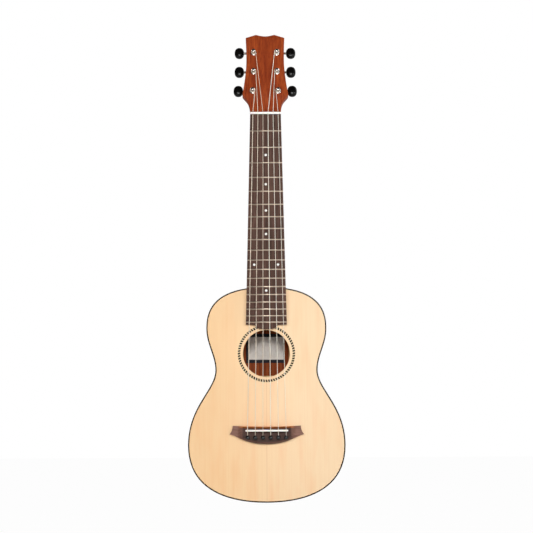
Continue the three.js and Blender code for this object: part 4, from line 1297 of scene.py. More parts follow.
@dataclass
class Neck:
    """The neck with its heel and its tilted head.

    The head's outline runs through its corner, its waist, its top and its peak, each given by its
    distance from the middle line and from the nut line.
    """

    scale: Scale
    body: Body
    depth: Flat = (20, 22)
    flat: float = 2
    past_nut: float = 30
    heel_start: float = 225
    heel_depth: float = 69
    cap: Point = (24, 16, 3)
    cap_round: float = 0.8
    tenon: Point = (22, 16, 56.1)
    rod: Flat = (6, 9)
    rod_span: Flat = (12, 268)
    rod_play: float = 0.2
    tilt: float = math.radians(12)
    thickness: float = 13
    head_round: float = 0.5
    corner: Flat = (37.6, 35.8)
    waist: Flat = (31.05, 99)
    top: Flat = (32.15, 139.9)
    peak: Flat = (15.1, 145.6)
    dip: float = 2.9
    post_bore: float = 3.3

    @property
    def heel_run(self) -> float:
        """The length over which the shaft grows into the heel."""
        return self.body.start - self.cap[1] - self.heel_start

    def from_head(self, point: Point) -> Point:
        """Turns a point of the head's own flat frame to where it lies on the guitar.

        Args:
            point: The place across the head, the depth from its face, and the place up it.

        Returns:
            The point on the guitar.
        """
        x, depth, rise = point
        cosine, sine = math.cos(self.tilt), math.sin(self.tilt)
        return (x, depth * cosine + rise * sine, rise * cosine - depth * sine)

    def ring(self, place: float) -> list[Point]:
        """Draws the neck's section, which is drawn out into the heel's keel.

        Args:
            place: How far below the nut line the section lies.

        Returns:
            The section's points.
        """
        share = min(max((place - self.heel_start) / self.heel_run, 0), 1)
        half = self.scale.half(max(place, 0))
        shaft = mix(*self.depth, min(max(place, 0) / self.heel_start, 1))
        depth = mix(shaft, self.heel_depth, 1 - math.sqrt(1 - share ** 2))
        keel = mix(self.flat, self.cap[0], share) / 2
        right = []
        for i in range(19):
            down = math.sin(i / 18 * math.pi / 2)
            round_off = math.sqrt(max(1 - down ** 2, 0))
            hollow = (1 - down) ** 1.6
            right.append((keel + (half - keel) * mix(round_off, hollow, share), depth * down,
                          -place))
        return right + [(-x, y, z) for x, y, z in right[::-1]]

    def head_outline(self) -> list[Flat]:
        """Draws the head's outline in its own flat frame.

        Returns:
            The outline's points.
        """
        half = self.scale.nut_width / 2
        (cx, cz), (wx, wz), (tx, tz), (px, pz) = self.corner, self.waist, self.top, self.peak
        return mirrored([
            *curve([(half, 0), (half, cz * 0.77), (mix(half, cx, 0.55), cz * 0.73), (cx, cz)], 14),
            *curve([(cx, cz), (mix(cx, wx, 0.49), mix(cz, wz, 0.32)), (wx, mix(cz, wz, 0.68)),
                    (wx, wz)], 16)[1:],
            *curve([(wx, wz), (wx, mix(wz, tz, 0.5)), (tx, tz)], 10)[1:],
            *curve([(px, pz), (px * 0.4, pz - self.dip), (0, pz - self.dip)], 14),
        ])

    def make_blank(self) -> Object:
        """Lofts the shaft and heel, cut to the nut line, the body and the rod.

        Returns:
            The blank without its head.
        """
        places = [-self.past_nut, 0, 60, 120, 180, self.heel_start]
        places += [self.heel_start + self.heel_run * math.sin(turn)
                   for turn in angles(math.pi / 2, 26)[1:]]
        places += [self.body.start + self.cap[1]]
        blank = loft([self.ring(place) for place in places]).piece("mahogany_neck", 40)
        rise = (self.scale.nut_thickness - self.scale.nut_shift) / math.cos(self.tilt)
        over = block((-70, -50, rise), (70, 0, 90)).moved(self.from_head)
        joint = slab([self.body.outline(-0.1)], -20, 100)
        half = self.rod[0] / 2 + self.rod_play
        channel = block((-half, -20, -self.rod_span[1]),
                        (half, self.rod[1] + self.rod_play, -self.rod_span[0]))
        return combined(blank, [over.piece("over"), joint.piece("joint"),
                                channel.piece("channel")])

    def make_head(self) -> Object:
        """Makes the head with its bores and tilts it back.

        Returns:
            The head.
        """
        head = slab([self.head_outline()], 0, self.thickness).piece("head")
        head = rounded(head, self.head_round, 3, 40)
        combined(head, [slab([circle(machine.x, machine.rise, self.post_bore, 32)], -5, 30)
                        .piece("bore") for machine in Machine.all(self)])
        for vertex in head.data.vertices:
            vertex.co = Vector(self.from_head(tuple(vertex.co / MM))) * MM
        return head

    def build(self) -> None:
        """Builds the neck with its head, the heel's cap and the rod."""
        start = self.body.start
        width, length, depth = self.tenon
        blank, head = self.make_blank(), self.make_head()
        tongue = block((-width / 2, 5.2, -start - length), (width / 2, depth, -start + 4))
        combined(blank, [head, tongue.piece("tongue")], "UNION")
        blank.data.set_sharp_from_angle(angle=math.radians(35))
        show(NECK_MAHOGANY.on(blank), "root", "mahogany_neck", "neck")

        width, length, thickness = self.cap
        plate = block((-width / 2, self.heel_depth, -start + 0.2),
                      (width / 2, self.heel_depth + thickness, -start + length))
        show(BOARD_ROSEWOOD.on(rounded(plate.piece("heel_plate"), self.cap_round, 3)), "root",
             "dark_rosewood", "heel_cap")
        dress(ROD_STEEL, "truss_rod")


@dataclass
class Fingerboard:
    """The fingerboard with its fret wires, position dots and nut.

    Its end has a tongue in the middle. The tongue's length, half width and shoulder are given.
    """

    scale: Scale
    tongue: float = 7.4
    tongue_half: float = 0.515
    shoulder: float = 0.36
    edge_round: float = 0.35
    wire: Flat = (2, 1)
    wire_root: float = 0.4
    dot_radius: float = 2.1
    dot_aside: float = 19.1
    dot_frets: tuple[int, ...] = (3, 5, 7, 9, 12, 15)
    nut_rise: float = 2.8
    nut_round: float = 0.9
    slot_play: float = 0.15

    @property
    def face(self) -> float:
        """The depth of the board's face."""
        return -self.scale.board_thickness

    def outline(self) -> list[Flat]:
        """Draws the board: a hollow sweep from each corner of its end and a round tongue between.

        Returns:
            The outline's points.
        """
        corner = self.scale.corner
        end = self.scale.half(corner)
        cusp = end * self.tongue_half
        place = corner + self.tongue * self.shoulder
        low = corner + self.tongue
        return mirrored([
            (self.scale.nut_width / 2, -self.scale.nut_shift),
            *curve([(end, -corner), (cusp, -corner), (cusp, -place)], 14),
            *curve([(cusp, -place), (cusp * 0.8, -low), (cusp * 0.45, -low), (0, -low)], 16)[1:],
        ])

    def make_board(self) -> None:
        """Makes the board with softened edges."""
        board = slab([self.outline()], self.face, -0.02).piece("rosewood_fingerboard")
        show(BOARD_ROSEWOOD.on(rounded(board, self.edge_round, 2)), "root", "dark_rosewood",
             "fingerboard")

    def make_frets(self) -> None:
        """Sets a crowned wire on every fret, with its ends bevelled.

        The wire is made a metre long each way and then drawn in to the board's half width.
        """
        width, height = self.wire
        rings = []
        for end, share in ((-1, 0.0), (-0.985, 1.0), (0.985, 1.0), (1, 0.0)):
            crown = [(-max(height * math.sin(turn) ** 0.8 * share, 0.02),
                      width / 2 * math.cos(turn)) for turn in angles(math.pi, 10)]
            foot = [(self.wire_root, -width / 4), (self.wire_root, width / 4)]
            rings.append([(end / MM, y, z) for y, z in crown + foot])
        scale = self.scale
        taper = (scale.end_width - scale.nut_width) / 2 / scale.corner
        frets = Copies.run("fret_wires", Layout.ON_FRETS, loft(rings).piece("crown", 50),
                           Frets=scale.frets, Scale_Length=scale.length * MM,
                           Nut_Half=scale.nut_width / 2 * MM, Taper=taper,
                           Height=self.face * MM, Material=FRET_METAL.material())
        show(frets, "root", "dark_rosewood", "fingerboard")

    def make_dots(self) -> None:
        """Lets the position dots into the board, one on the middle line, two at the octave."""
        places = []
        for fret in self.dot_frets:
            place = (self.scale.fret(fret - 1) + self.scale.fret(fret)) / 2
            for x in ((-self.dot_aside, self.dot_aside) if fret == 12 else (0.0,)):
                places.append((x, self.face, -place))
        radius = self.dot_radius
        dot = turned([(0, -0.03), (radius - 0.15, -0.03), (radius, 0.05), (radius, 0.8), (0, 0.8)])
        dots = Copies.run("position_dots", Layout.AT_PLACES, dot.piece("dot"), places,
                          Material=SHELL_DOT.material())
        show(dots, "root", "bone_white", "fingerboard")

    def make_nut(self) -> None:
        """Makes the nut with a rounded top and a slot for every string."""
        scale = self.scale
        top = self.face - self.nut_rise
        half, low = scale.nut_width / 2, -scale.nut_shift
        bar = block((-half, top, low), (half, 0, scale.nut_thickness + low)).piece("bone_nut")
        cuts = []
        for x, diameter in zip(scale.across(scale.nut_spacing), scale.diameters):
            side = diameter / 2 + self.slot_play
            floor = self.face - scale.nut_height + diameter / 2 + 0.05
            cuts.append(block((x - side, top - 3, -5), (x + side, floor, 10)).piece("slot"))
        show(BONE.on(combined(rounded(bar, self.nut_round, 4), cuts)), "root", "bone_white", "nut")

    def build(self) -> None:
        """Builds the board from the wood up."""
        self.make_board()
        self.make_frets()
        self.make_dots()
        self.make_nut()


@dataclass
class Bridge:
    """The pin bridge with its saddle and six pins.

    The outline is given by its top corner, its tip and its belly, and the saddle by its length,
    its thickness and how deep it sits.
    """

    scale: Scale
    top: Flat = (54, 504.4)
    dip: float = 1.5
    tip: Flat = (59.2, 518.1)
    belly: float = 533.4
    height: float = 8
    wing: float = 3.6
    block_half: float = 38
    ramp: float = 9
    ramp_steps: int = 12
    round_off: float = 3.2
    round_steps: int = 6
    saddle: Point = (67.8, 3, 4.5)
    saddle_round: float = 1.1
    saddle_place: float = 512.2
    play: float = 0.05
    pin_place: float = 523.1
    pin_head: Flat = (3.5, 3.2)
    pin_shaft: Flat = (2.2, 1.9)
    pin_length: float = 24
    slot_run: float = 5.9
    slot_play: float = 0.3

    def outline(self) -> list[Flat]:
        """Draws the bridge's outline: nearly straight above, bellied below.

        Returns:
            The outline's points.
        """
        (tx, tz), (px, pz) = self.top, self.tip
        return mirrored([
            *curve([(0, -tz - self.dip), (tx / 2, -tz - self.dip), (tx, -tz)], 14),
            *curve([(tx, -tz), (tx, -mix(tz, pz, 0.55)), (px, -pz)], 10)[1:],
            *curve([(px, -pz), (px * 0.84, -pz), (px * 0.61, -self.belly), (0, -self.belly)],
                   26)[1:],
        ])[:-1]

    def drawn_in(self, inset: float) -> list[Flat]:
        """Draws the outline in, fully along the belly and less elsewhere.

        Args:
            inset: How far it is drawn in along the belly.

        Returns:
            The points.
        """
        points = self.outline()
        drawn = []
        for i, (x, z) in enumerate(points):
            before, after = points[i - 1], points[(i + 1) % len(points)]
            dx, dz = after[0] - before[0], after[1] - before[1]
            fully = min(max((-z - self.tip[1]) / 5, 0), 1)
            part = inset * mix(0.2, 1, fully) / math.hypot(dx, dz)
            drawn.append((x + part * dz, z - part * dx))
        return drawn

    def make_prism(self) -> Shell:
        """Draws the front view of the block: thick in the middle, with a smooth ramp each side.

        Returns:
            The prism that the block is crossed with.
        """
        end, foot = self.tip[0] + 5, self.block_half + self.ramp
        right = [(end, 0.0), (end, -self.wing), (foot, -self.wing)]
        for i in range(1, self.ramp_steps):
            share = i / self.ramp_steps
            drop = 0.5 - 0.5 * math.cos(math.pi * share)
            right.append((self.block_half + self.ramp * (1 - share),
                          -mix(self.wing, self.height, drop)))
        right.append((self.block_half, -self.height))
        profile = [(-x, y) for x, y in right] + right[::-1]
        return loft([[(x, y, z) for x, y in profile] for z in (-480.0, -560.0)])

    def make_block(self) -> None:
        """Makes the block with its rounded belly, the saddle's seat and the string slots."""
        rings = [[(x, -0.02, z) for x, z in self.drawn_in(0)]]
        for turn in angles(math.pi / 2, self.round_steps):
            depth = -self.height + self.round_off * (1 - math.sin(turn))
            rings.append([(x, depth, z)
                          for x, z in self.drawn_in(self.round_off * (1 - math.cos(turn)))])
        blank = loft(rings).piece("rosewood_bridge")
        combined(blank, [self.make_prism().piece("prism")], "INTERSECT")
        length, thick, deep = self.saddle
        half, thick = length / 2 + self.play, thick / 2 + self.play
        cuts = [block((-half, -20, -self.saddle_place - thick),
                      (half, -self.height + deep, -self.saddle_place + thick)).piece("seat")]
        for x, diameter in zip(self.scale.across(self.scale.pin_spacing), self.scale.diameters):
            side = diameter / 2 + self.slot_play
            slot = block((x - side, -20, -self.pin_place),
                         (x + side, -self.height / 2, -self.pin_place + self.slot_run))
            cuts.append(slot.piece("slot"))
        show(BRIDGE_ROSEWOOD.on(combined(blank, cuts)), "root", "dark_rosewood", "bridge")

    def make_saddle(self) -> None:
        """Makes the saddle with a rounded crown."""
        half, thick = self.saddle[0] / 2, self.saddle[1] / 2
        crest = -(self.scale.saddle_height - max(self.scale.diameters) / 2 - 0.05)
        bar = block((-half, crest, -self.saddle_place - thick),
                    (half, -self.height + self.saddle[2], -self.saddle_place + thick))
        bar = rounded(bar.piece("bone_saddle"), self.saddle_round, 5)
        show(BONE.on(bar), "root", "bone_white", "saddle")

    def make_pins(self) -> None:
        """Turns one pin and sets six."""
        seat, (radius, tall), (neck, shaft) = -self.height, self.pin_head, self.pin_shaft
        end = seat + self.pin_length
        dome = [(radius * math.sin(turn), seat - 0.5 - (tall - 0.5) * math.cos(turn))
                for turn in angles(math.pi / 2, 10)]
        profile = [*dome, (radius * 0.97, seat - 0.15), (radius * 0.88, seat), (neck + 0.3, seat),
                   (neck, seat + 0.4), (shaft, end - 2), (shaft / 2, end), (0, end)]
        places = [(x, 0.0, -self.pin_place) for x in self.scale.across(self.scale.pin_spacing)]
        pins = Copies.run("bridge_pins", Layout.AT_PLACES, turned(profile, 36).piece("pin", 50),
                          places, Material=PIN_PLASTIC.material())
        show(pins, "root", "black_plastic",
             *(f"bridge_pin_{number}" for number in range(1, len(places) + 1)))

    def build(self) -> None:
        """Builds the bridge from the wood up."""
        self.make_block()
        self.make_saddle()
        self.make_pins()


@dataclass
class Machine:
    """One tuning machine: post and wheel, worm and button, and the plate that carries them.

    The collar, the button and the plate are given by their sizes, the ears by how thick they are
    and their radius, and the teeth by their module, their number and the play between them.
    """

    neck: Neck
    index: int
    row_gap: float = 35
    first_row: float = 42
    asides: Flat = (20.8, 19.15)
    post_radius: float = 3
    waist: float = 2.6
    post_rise: float = 10
    eye: Flat = (0.9, -8.9)
    collar: Flat = (5, 1.2)
    module: float = 0.75
    teeth: int = 14
    addendum: float = 0.8
    play: float = 0.32
    pressure: float = math.radians(20)
    wheel_width: float = 4
    worm_radius: float = 3.25
    worm_half: float = 4.2
    thread_steps: int = 32
    shaft_radius: float = 1.8
    plate: Point = (18, 23.5, 1.2)
    plate_corner: float = 2
    plate_bore: float = 3.3
    plate_round: float = 0.22
    below: float = 9
    ear: Flat = (1.6, 4)
    ear_gap: float = 0.3
    reach: float = 23.7
    button: Point = (15.8, 19.6, 10.2)
    fullness: float = 0.86

    @classmethod
    def all(cls, neck: Neck) -> list[Machine]:
        """Returns the six machines, the first for the thin treble string."""
        return [cls(neck, index) for index in range(6)]

    @property
    def number(self) -> int:
        """The number of the machine's string."""
        return self.index + 1

    @property
    def side(self) -> int:
        """The side of the head, as the sign of X."""
        return 1 if self.index < 3 else -1

    @property
    def row(self) -> int:
        """The machine's row, counted from the nut."""
        return self.index if self.side > 0 else 5 - self.index

    @property
    def x(self) -> float:
        """The post's place across the head."""
        return self.side * self.asides[min(self.row, 1)]

    @property
    def rise(self) -> float:
        """The post's place up the head."""
        return self.first_row + self.row_gap * self.row

    @property
    def plate_back(self) -> float:
        """The depth of the plate's outer face."""
        return self.neck.thickness + 0.3 + self.plate[2]

    @property
    def crest(self) -> float:
        """The radius of the worm's crest."""
        return self.worm_radius + self.module * self.addendum

    @property
    def worm_depth(self) -> float:
        """The depth of the worm's axis."""
        return self.plate_back + 0.35 + self.crest

    @property
    def wheel_radius(self) -> float:
        """The wheel's pitch radius."""
        return self.module * self.teeth / 2

    @property
    def away(self) -> float:
        """How far above the post's axis the worm's axis lies."""
        return self.wheel_radius + self.worm_radius

    @property
    def pitch(self) -> float:
        """The distance from tooth to tooth."""
        return math.pi * self.module

    @property
    def tooth(self) -> Point:
        """The shape of a tooth.

        Returns:
            Half its width at its foot, its pitch line and its tip.
        """
        half = (self.pitch - self.play) / 4
        slope = math.tan(self.pressure)
        return (half + self.module * slope, half, half - self.module * self.addendum * slope)

    def placed(self, shell: Shell, up: float = 0, depth: float = 0) -> Shell:
        """Sets a shell on the head at this machine's post, moved up and back by sizes."""
        return shell.moved(lambda p: self.neck.from_head(
            (p[0] + self.x, p[1] + depth, p[2] + self.rise + up)))

    def at_worm(self, shell: Shell) -> Shell:
        """Sets a shell on the head with its middle on the worm's axis."""
        return self.placed(shell, self.away, self.worm_depth)

    def make_post(self) -> None:
        """Makes the post with its eye, and the wheel with its screw behind the head."""
        top, radius, waist = -self.post_rise, self.post_radius, self.waist
        front = self.worm_depth - self.wheel_width / 2
        rear = self.worm_depth + self.wheel_width / 2
        hub = self.plate_back + 0.3
        hollow = [(mix(waist, radius, 0.5 + 0.5 * math.cos(turn)), -8 + 0.12 * i)
                  for i, turn in enumerate(angles(math.pi, 6))]
        profile = [(0, top), (1.2, top), (1.9, top + 0.1), (2.5, top + 0.4), (2.85, top + 0.9),
                   (radius, top + 1.4), (radius, -8.0), *hollow[1:], (waist, -2.6), (2.75, -2.1),
                   (radius, -1.7), (radius, hub), (4, hub), (4, front + 0.3), (2.4, front + 0.3),
                   (2.4, rear + 0.8), (2.1, rear + 1.4), (0, rear + 1.4)]
        post = self.placed(turned(profile, 40)).piece(f"post_with_wheel_{self.number}", 40)
        bore, depth = self.eye
        eye = self.placed(across_bar(-8, 8, bore, 16), depth=depth)
        slot = self.placed(block((-3, rear + 0.9, -0.35), (3, rear + 3, 0.35)))
        combined(post, [eye.piece("eye")])
        combined(post, [self.placed(self.wheel()).piece("wheel")], "UNION")
        combined(post, [slot.piece("slot")])
        show(CHROME.on(post), f"post_{self.number}", "chrome_plate",
             f"string_post_{self.number}")

    def wheel(self) -> Shell:
        """Draws the worm wheel with its teeth leaned to the thread.

        Returns:
            The wheel, about the post's axis.
        """
        middle_radius = self.wheel_radius
        lean = self.pitch / (2 * math.pi * self.worm_radius)
        rows = list(zip((middle_radius - self.module, middle_radius,
                         middle_radius + self.module * self.addendum), self.tooth))
        flat: list[Flat] = []
        for tooth in range(self.teeth):
            middle = math.pi / 2 - (tooth + 0.5) * 2 * math.pi / self.teeth
            flat += [(radius, middle + width / radius) for radius, width in rows]
            flat += [(radius, middle - width / radius) for radius, width in reversed(rows)]
        rings = []
        for layer in range(5):
            y = (layer / 4 - 0.5) * self.wheel_width
            turn = lean * y / middle_radius
            rings.append([(r * math.cos(a - turn), y + self.worm_depth, r * math.sin(a - turn))
                          for r, a in flat])
        return loft(rings)

    def thread(self) -> Shell:
        """Draws the right-handed worm thread, longer than the worm and open at its ends.

        Returns:
            The thread, about the worm's axis.
        """
        foot, _, tip = self.tooth
        root, crest = self.worm_radius - self.module, self.crest
        ridge = [(-foot, root), (-tip, crest - 0.05), (-tip + 0.06, crest), (tip - 0.06, crest),
                 (tip, crest - 0.05), (foot, root)]
        turns, steps = 2 * math.ceil(self.worm_half / self.pitch) + 2, self.thread_steps
        total, width = turns * steps, len(ridge)
        points = []
        for j in range(total + steps + 1):
            angle = 2 * math.pi * j / steps
            along = (j / steps - turns / 2 + 0.25 - 0.5) * self.pitch
            points += [(along + offset, radius * math.cos(angle), radius * math.sin(angle))
                       for offset, radius in ridge]
        faces = []
        for j in range(total):
            # The last strip of a row is the groove: it runs to the ridge one turn further on.
            for k in range(width):
                a, b = j * width + k, (j + 1) * width + k
                groove = ((j + 1 + steps) * width, (j + steps) * width)
                faces.append((a, b, *(groove if k == width - 1 else (b + 1, a + 1))))
        return Shell(points, faces)

    def worm(self) -> Shell:
        """Cuts the thread off square at both ends and closes it.

        Returns:
            The worm, about its own axis.
        """
        thread = self.thread()
        mesh = meshed("thread", thread.points, thread.faces)
        cut = bmesh.new()
        cut.from_mesh(mesh)
        bmesh.ops.remove_doubles(cut, verts=cut.verts, dist=MERGE * MM)
        for end in (-1, 1):
            everything = [*cut.verts, *cut.edges, *cut.faces]
            bmesh.ops.bisect_plane(cut, geom=everything, plane_co=(end * self.worm_half * MM, 0, 0),
                                   plane_no=(end, 0, 0), clear_outer=True)
        loose = [vertex for vertex in cut.verts if not vertex.link_faces]
        bmesh.ops.delete(cut, geom=loose, context="VERTS")
        bmesh.ops.holes_fill(cut, edges=[edge for edge in cut.edges if edge.is_boundary])
        bmesh.ops.recalc_face_normals(cut, faces=cut.faces)
        cut.to_mesh(mesh)
        cut.free()
        worm = Shell([tuple(vertex.co / MM) for vertex in mesh.vertices],
                     [tuple(face.vertices) for face in mesh.polygons])
        bpy.data.meshes.remove(mesh)
        return worm

    def make_worm(self) -> None:
        """Makes the worm and its shaft, which runs out into the button."""
        worm = self.worm()
        inner, end = self.worm_half - 0.5, self.reach - self.button[0] / 2 + 7.8
        tail = self.worm_half + self.ear_gap + self.ear[0] + 1.4
        for start, stop in ((inner, end), (-tail, -inner)):
            start, stop = sorted((self.side * start, self.side * stop))
            worm = worm.joined(across_bar(start, stop, self.shaft_radius))
        piece = self.at_worm(worm).piece(f"worm_shaft_{self.number}")
        show(SHAFT_STEEL.on(piece), f"knob_{self.number}", "chrome_plate",
             f"tuner_worm_{self.number}")

    def fuller(self, value: float) -> float:
        """Draws a sine or cosine out towards one, so that an ellipsoid gets fuller."""
        return math.copysign(abs(value) ** self.fullness, value)

    def make_button(self) -> None:
        """Makes the oval button, a little fuller than an ellipsoid, bored for its shaft."""
        wide, tall, thick = self.button
        rings = []
        for polar in angles(math.pi, 24)[1:-1]:
            reach = self.fuller(math.sin(polar))
            rings.append([(-wide / 2 * self.fuller(math.cos(polar)),
                           thick / 2 * reach * self.fuller(math.cos(turn)),
                           tall / 2 * reach * self.fuller(math.sin(turn)))
                          for turn in angles(2 * math.pi, 48)[:-1]])
        oval = loft(rings).pointed([(-wide / 2, 0.0, 0.0), (wide / 2, 0.0, 0.0)]).moved(
            lambda p: (p[0] + self.side * self.reach, p[1], p[2]))
        piece = self.at_worm(oval).piece(f"oval_button_{self.number}", 80)
        inner = self.reach - wide / 2
        start, stop = sorted((self.side * (inner - 3), self.side * (inner + 8)))
        bore = across_bar(start, stop, self.shaft_radius + 0.1)
        combined(piece, [self.at_worm(bore).piece("bore")])
        piece.data.set_sharp_from_angle(angle=math.radians(60))
        show(BLACK_PLASTIC.on(piece), f"knob_{self.number}", "black_plastic",
             f"tuner_button_{self.number}")

    def lug(self, start: float, stop: float) -> Shell:
        """Draws an ear of the plate, round behind the worm's axis.

        Args:
            start: Where it starts along X.
            stop: Where it stops along X.

        Returns:
            The ear.
        """
        radius, foot = self.ear[1], self.plate_back - 0.6
        section = [(foot, self.away - radius)]
        section += [(self.worm_depth + radius * math.cos(a), self.away + radius * math.sin(a))
                    for a in (math.pi * (i / 16 - 0.5) for i in range(17))]
        section += [(foot, self.away + radius)]
        return loft([[(x, y, z) for y, z in section] for x in (start, stop)])

    def make_plate(self) -> None:
        """Makes the plate with its bore for the post and two ears for the shaft."""
        inset = self.plate_corner
        half, high = self.plate[0] / 2 - inset, self.plate[1] - self.below - inset
        low = -self.below + inset
        corners = [(x + inset * math.cos(math.radians(start + a)),
                    z + inset * math.sin(math.radians(start + a)))
                   for x, z, start in ((half, high, 0), (-half, high, 90), (-half, low, 180),
                                       (half, low, 270))
                   for a in range(0, 91, 15)]
        base = slab([corners, circle(0, 0, self.plate_bore, 32)], self.neck.thickness + 0.02,
                    self.plate_back)
        plate = self.placed(base).piece(f"machine_plate_{self.number}")
        inner = self.worm_half + self.ear_gap
        outer = inner + self.ear[0]
        combined(plate, [self.placed(self.lug(*ends)).piece("lug")
                         for ends in ((-outer, -inner), (inner, outer))], "UNION")
        bore = across_bar(-9, 9, self.shaft_radius + 0.15)
        combined(plate, [self.at_worm(bore).piece("bore")])
        rounded(plate, self.plate_round, 2, 50)
        show(CHROME.on(plate), "root", "chrome_plate", f"tuner_plate_{self.number}")

    def build(self) -> None:
        """Builds the machine from the plate to the button."""
        self.make_plate()
        self.make_post()
        self.make_worm()
        self.make_button()


@dataclass
class Hardware:
    """What the six machines share: the collars round the posts and the plates' screws."""

    neck: Neck
    collar_bore: float = 3.35
    screw: Flat = (2.3, 1.1)
    slot: Flat = (1.5, 0.3)
    screw_aside: float = 6.2
    screw_below: float = 6

    def make_collars(self) -> None:
        """Sets a rounded collar at every post."""
        machines = Machine.all(self.neck)
        bore, (radius, tall) = self.collar_bore, machines[0].collar
        profile = [(bore, 0.6), (bore, -tall + 0.15), (bore + 0.15, -tall), (radius - 0.8, -tall),
                   (radius - 0.2, -tall + 0.35), (radius, 0.0), (radius - 0.1, 0.6), (bore, 0.6)]
        skin = spun(profile, 40)
        collar = Shell(skin.points, skin.faces[:-2]).piece("collar", 40)
        collars = Copies.run("post_collars", Layout.AT_PLACES, collar,
                             [self.neck.from_head((m.x, 0, m.rise)) for m in machines],
                             Turn=(-self.neck.tilt, 0, 0), Material=CHROME.material())
        show(collars, "root", "chrome_plate", "neck")

    def make_screws(self) -> None:
        """Sets two domed screws with crossed slots in every plate."""
        machines = Machine.all(self.neck)
        (radius, tall), (long, thin) = self.screw, self.slot
        dome = [(radius * math.sin(turn), tall * math.cos(turn)) for turn in angles(math.pi / 2, 6)]
        head = turned([*dome, (radius, -0.4), (0, -0.4)], 24).piece("screw", 50)
        combined(head, [block((-x, 0.75, -z), (x, 2, z)).piece("bar")
                        for x, z in ((long, thin), (thin, long))])
        places = [self.neck.from_head((m.x + x, m.plate_back, m.rise - self.screw_below))
                  for m in machines for x in (-self.screw_aside, self.screw_aside)]
        screws = Copies.run("plate_screws", Layout.AT_PLACES, head, places,
                            Turn=(-self.neck.tilt, 0, 0), Material=CHROME.material())
        show(screws, "root", "chrome_plate", *(f"tuner_plate_{m.number}" for m in machines))

    def build(self) -> None:
        """Builds the collars and the screws."""
        self.make_collars()
        self.make_screws()


@dataclass
class Strings:
    """The six strings, each with its run along the neck and its turns round the post."""

    scale: Scale
    neck: Neck
    bridge: Bridge
    turns: float = 2.5
    turn_steps: int = 36
    gap: float = 0.5
    ball: float = 2

    def run_points(self, index: int) -> list[Point]:
        """Draws the run from the ball end over the saddle to the nut.

        Args:
            index: The string's index, counted from the treble side.

        Returns:
            The points of the run.
        """
        scale, bridge = self.scale, self.bridge
        radius = scale.diameters[index] / 2
        at_pin = scale.across(scale.pin_spacing)[index]
        at_nut = scale.across(scale.nut_spacing)[index]
        top = scale.board_thickness + scale.nut_height
        in_slot = bridge.pin_place - bridge.pin_shaft[0] - 0.2 - radius
        mouth = bridge.pin_place - bridge.slot_run + radius + 0.2
        half, height, place = bridge.saddle[1] / 2, bridge.height, bridge.saddle_place
        crest = scale.saddle_height
        over_bridge = [
            (5 + self.ball - 0.5, -in_slot), (5.0, -in_slot), (-height + radius + 1.6, -in_slot),
            (-height + radius + 0.3, -bridge.pin_place + bridge.pin_head[0]),
            (-height - 0.2, -mouth), (-crest + 0.65, -place - half - 0.2),
            (-crest + 0.15, -place - half * 0.5), (-crest + 0.05, -place),
            (-crest + 0.06, -place + half)]
        return [*((at_pin, y, z) for y, z in over_bridge), (at_nut, -top, -scale.nut_shift),
                (at_nut, -top, scale.nut_thickness - scale.nut_shift - radius)]

    def winding_points(self, index: int) -> list[Point]:
        """Draws the turns on the post, from the lowest out towards the eye.

        Args:
            index: The string's index, counted from the treble side.

        Returns:
            The points of the turns.
        """
        machine = Machine(self.neck, index)
        radius = self.scale.diameters[index] / 2
        reach = machine.post_radius + radius + 0.12
        pitch = 2 * radius + self.gap
        start = machine.collar[1] + radius + 0.3
        points = []
        for step in range(int(self.turns * self.turn_steps) + 1):
            turn = step / self.turn_steps
            angle = turn * 2 * math.pi
            points.append(self.neck.from_head((
                machine.x - machine.side * reach * math.cos(angle), -start - pitch * turn,
                machine.rise + reach * math.sin(angle))))
        last, before = Vector(points[-1]), Vector(points[-2])
        points.append(tuple(last + (last - before).normalized() * 2 * radius))
        return points

    def build(self) -> None:
        """Draws every string in its two parts."""
        ball = turned([(self.ball * math.sin(turn), -self.ball * math.cos(turn))
                       for turn in angles(math.pi, 12)], 16)
        for index, diameter in enumerate(self.scale.diameters):
            number = index + 1
            finish, slot = (NYLON, "nylon_string") if index < 3 else (WOUND, "wound_string")
            winding = self.winding_points(index)
            run = self.run_points(index) + [winding[0]]
            x, y, z = run[0]
            end = ball.moved(lambda p: (p[0] + x, p[1] + y + 0.5, p[2] + z))
            line = tube(run, diameter / 2).joined(end).piece(f"string_run_{number}", 60)
            show(finish.on(line), "root", slot, f"string_{number}")
            coil = tube(winding, diameter / 2).piece(f"string_turns_{number}", 60)
            show(finish.on(coil), f"post_{number}", slot, f"string_{number}")


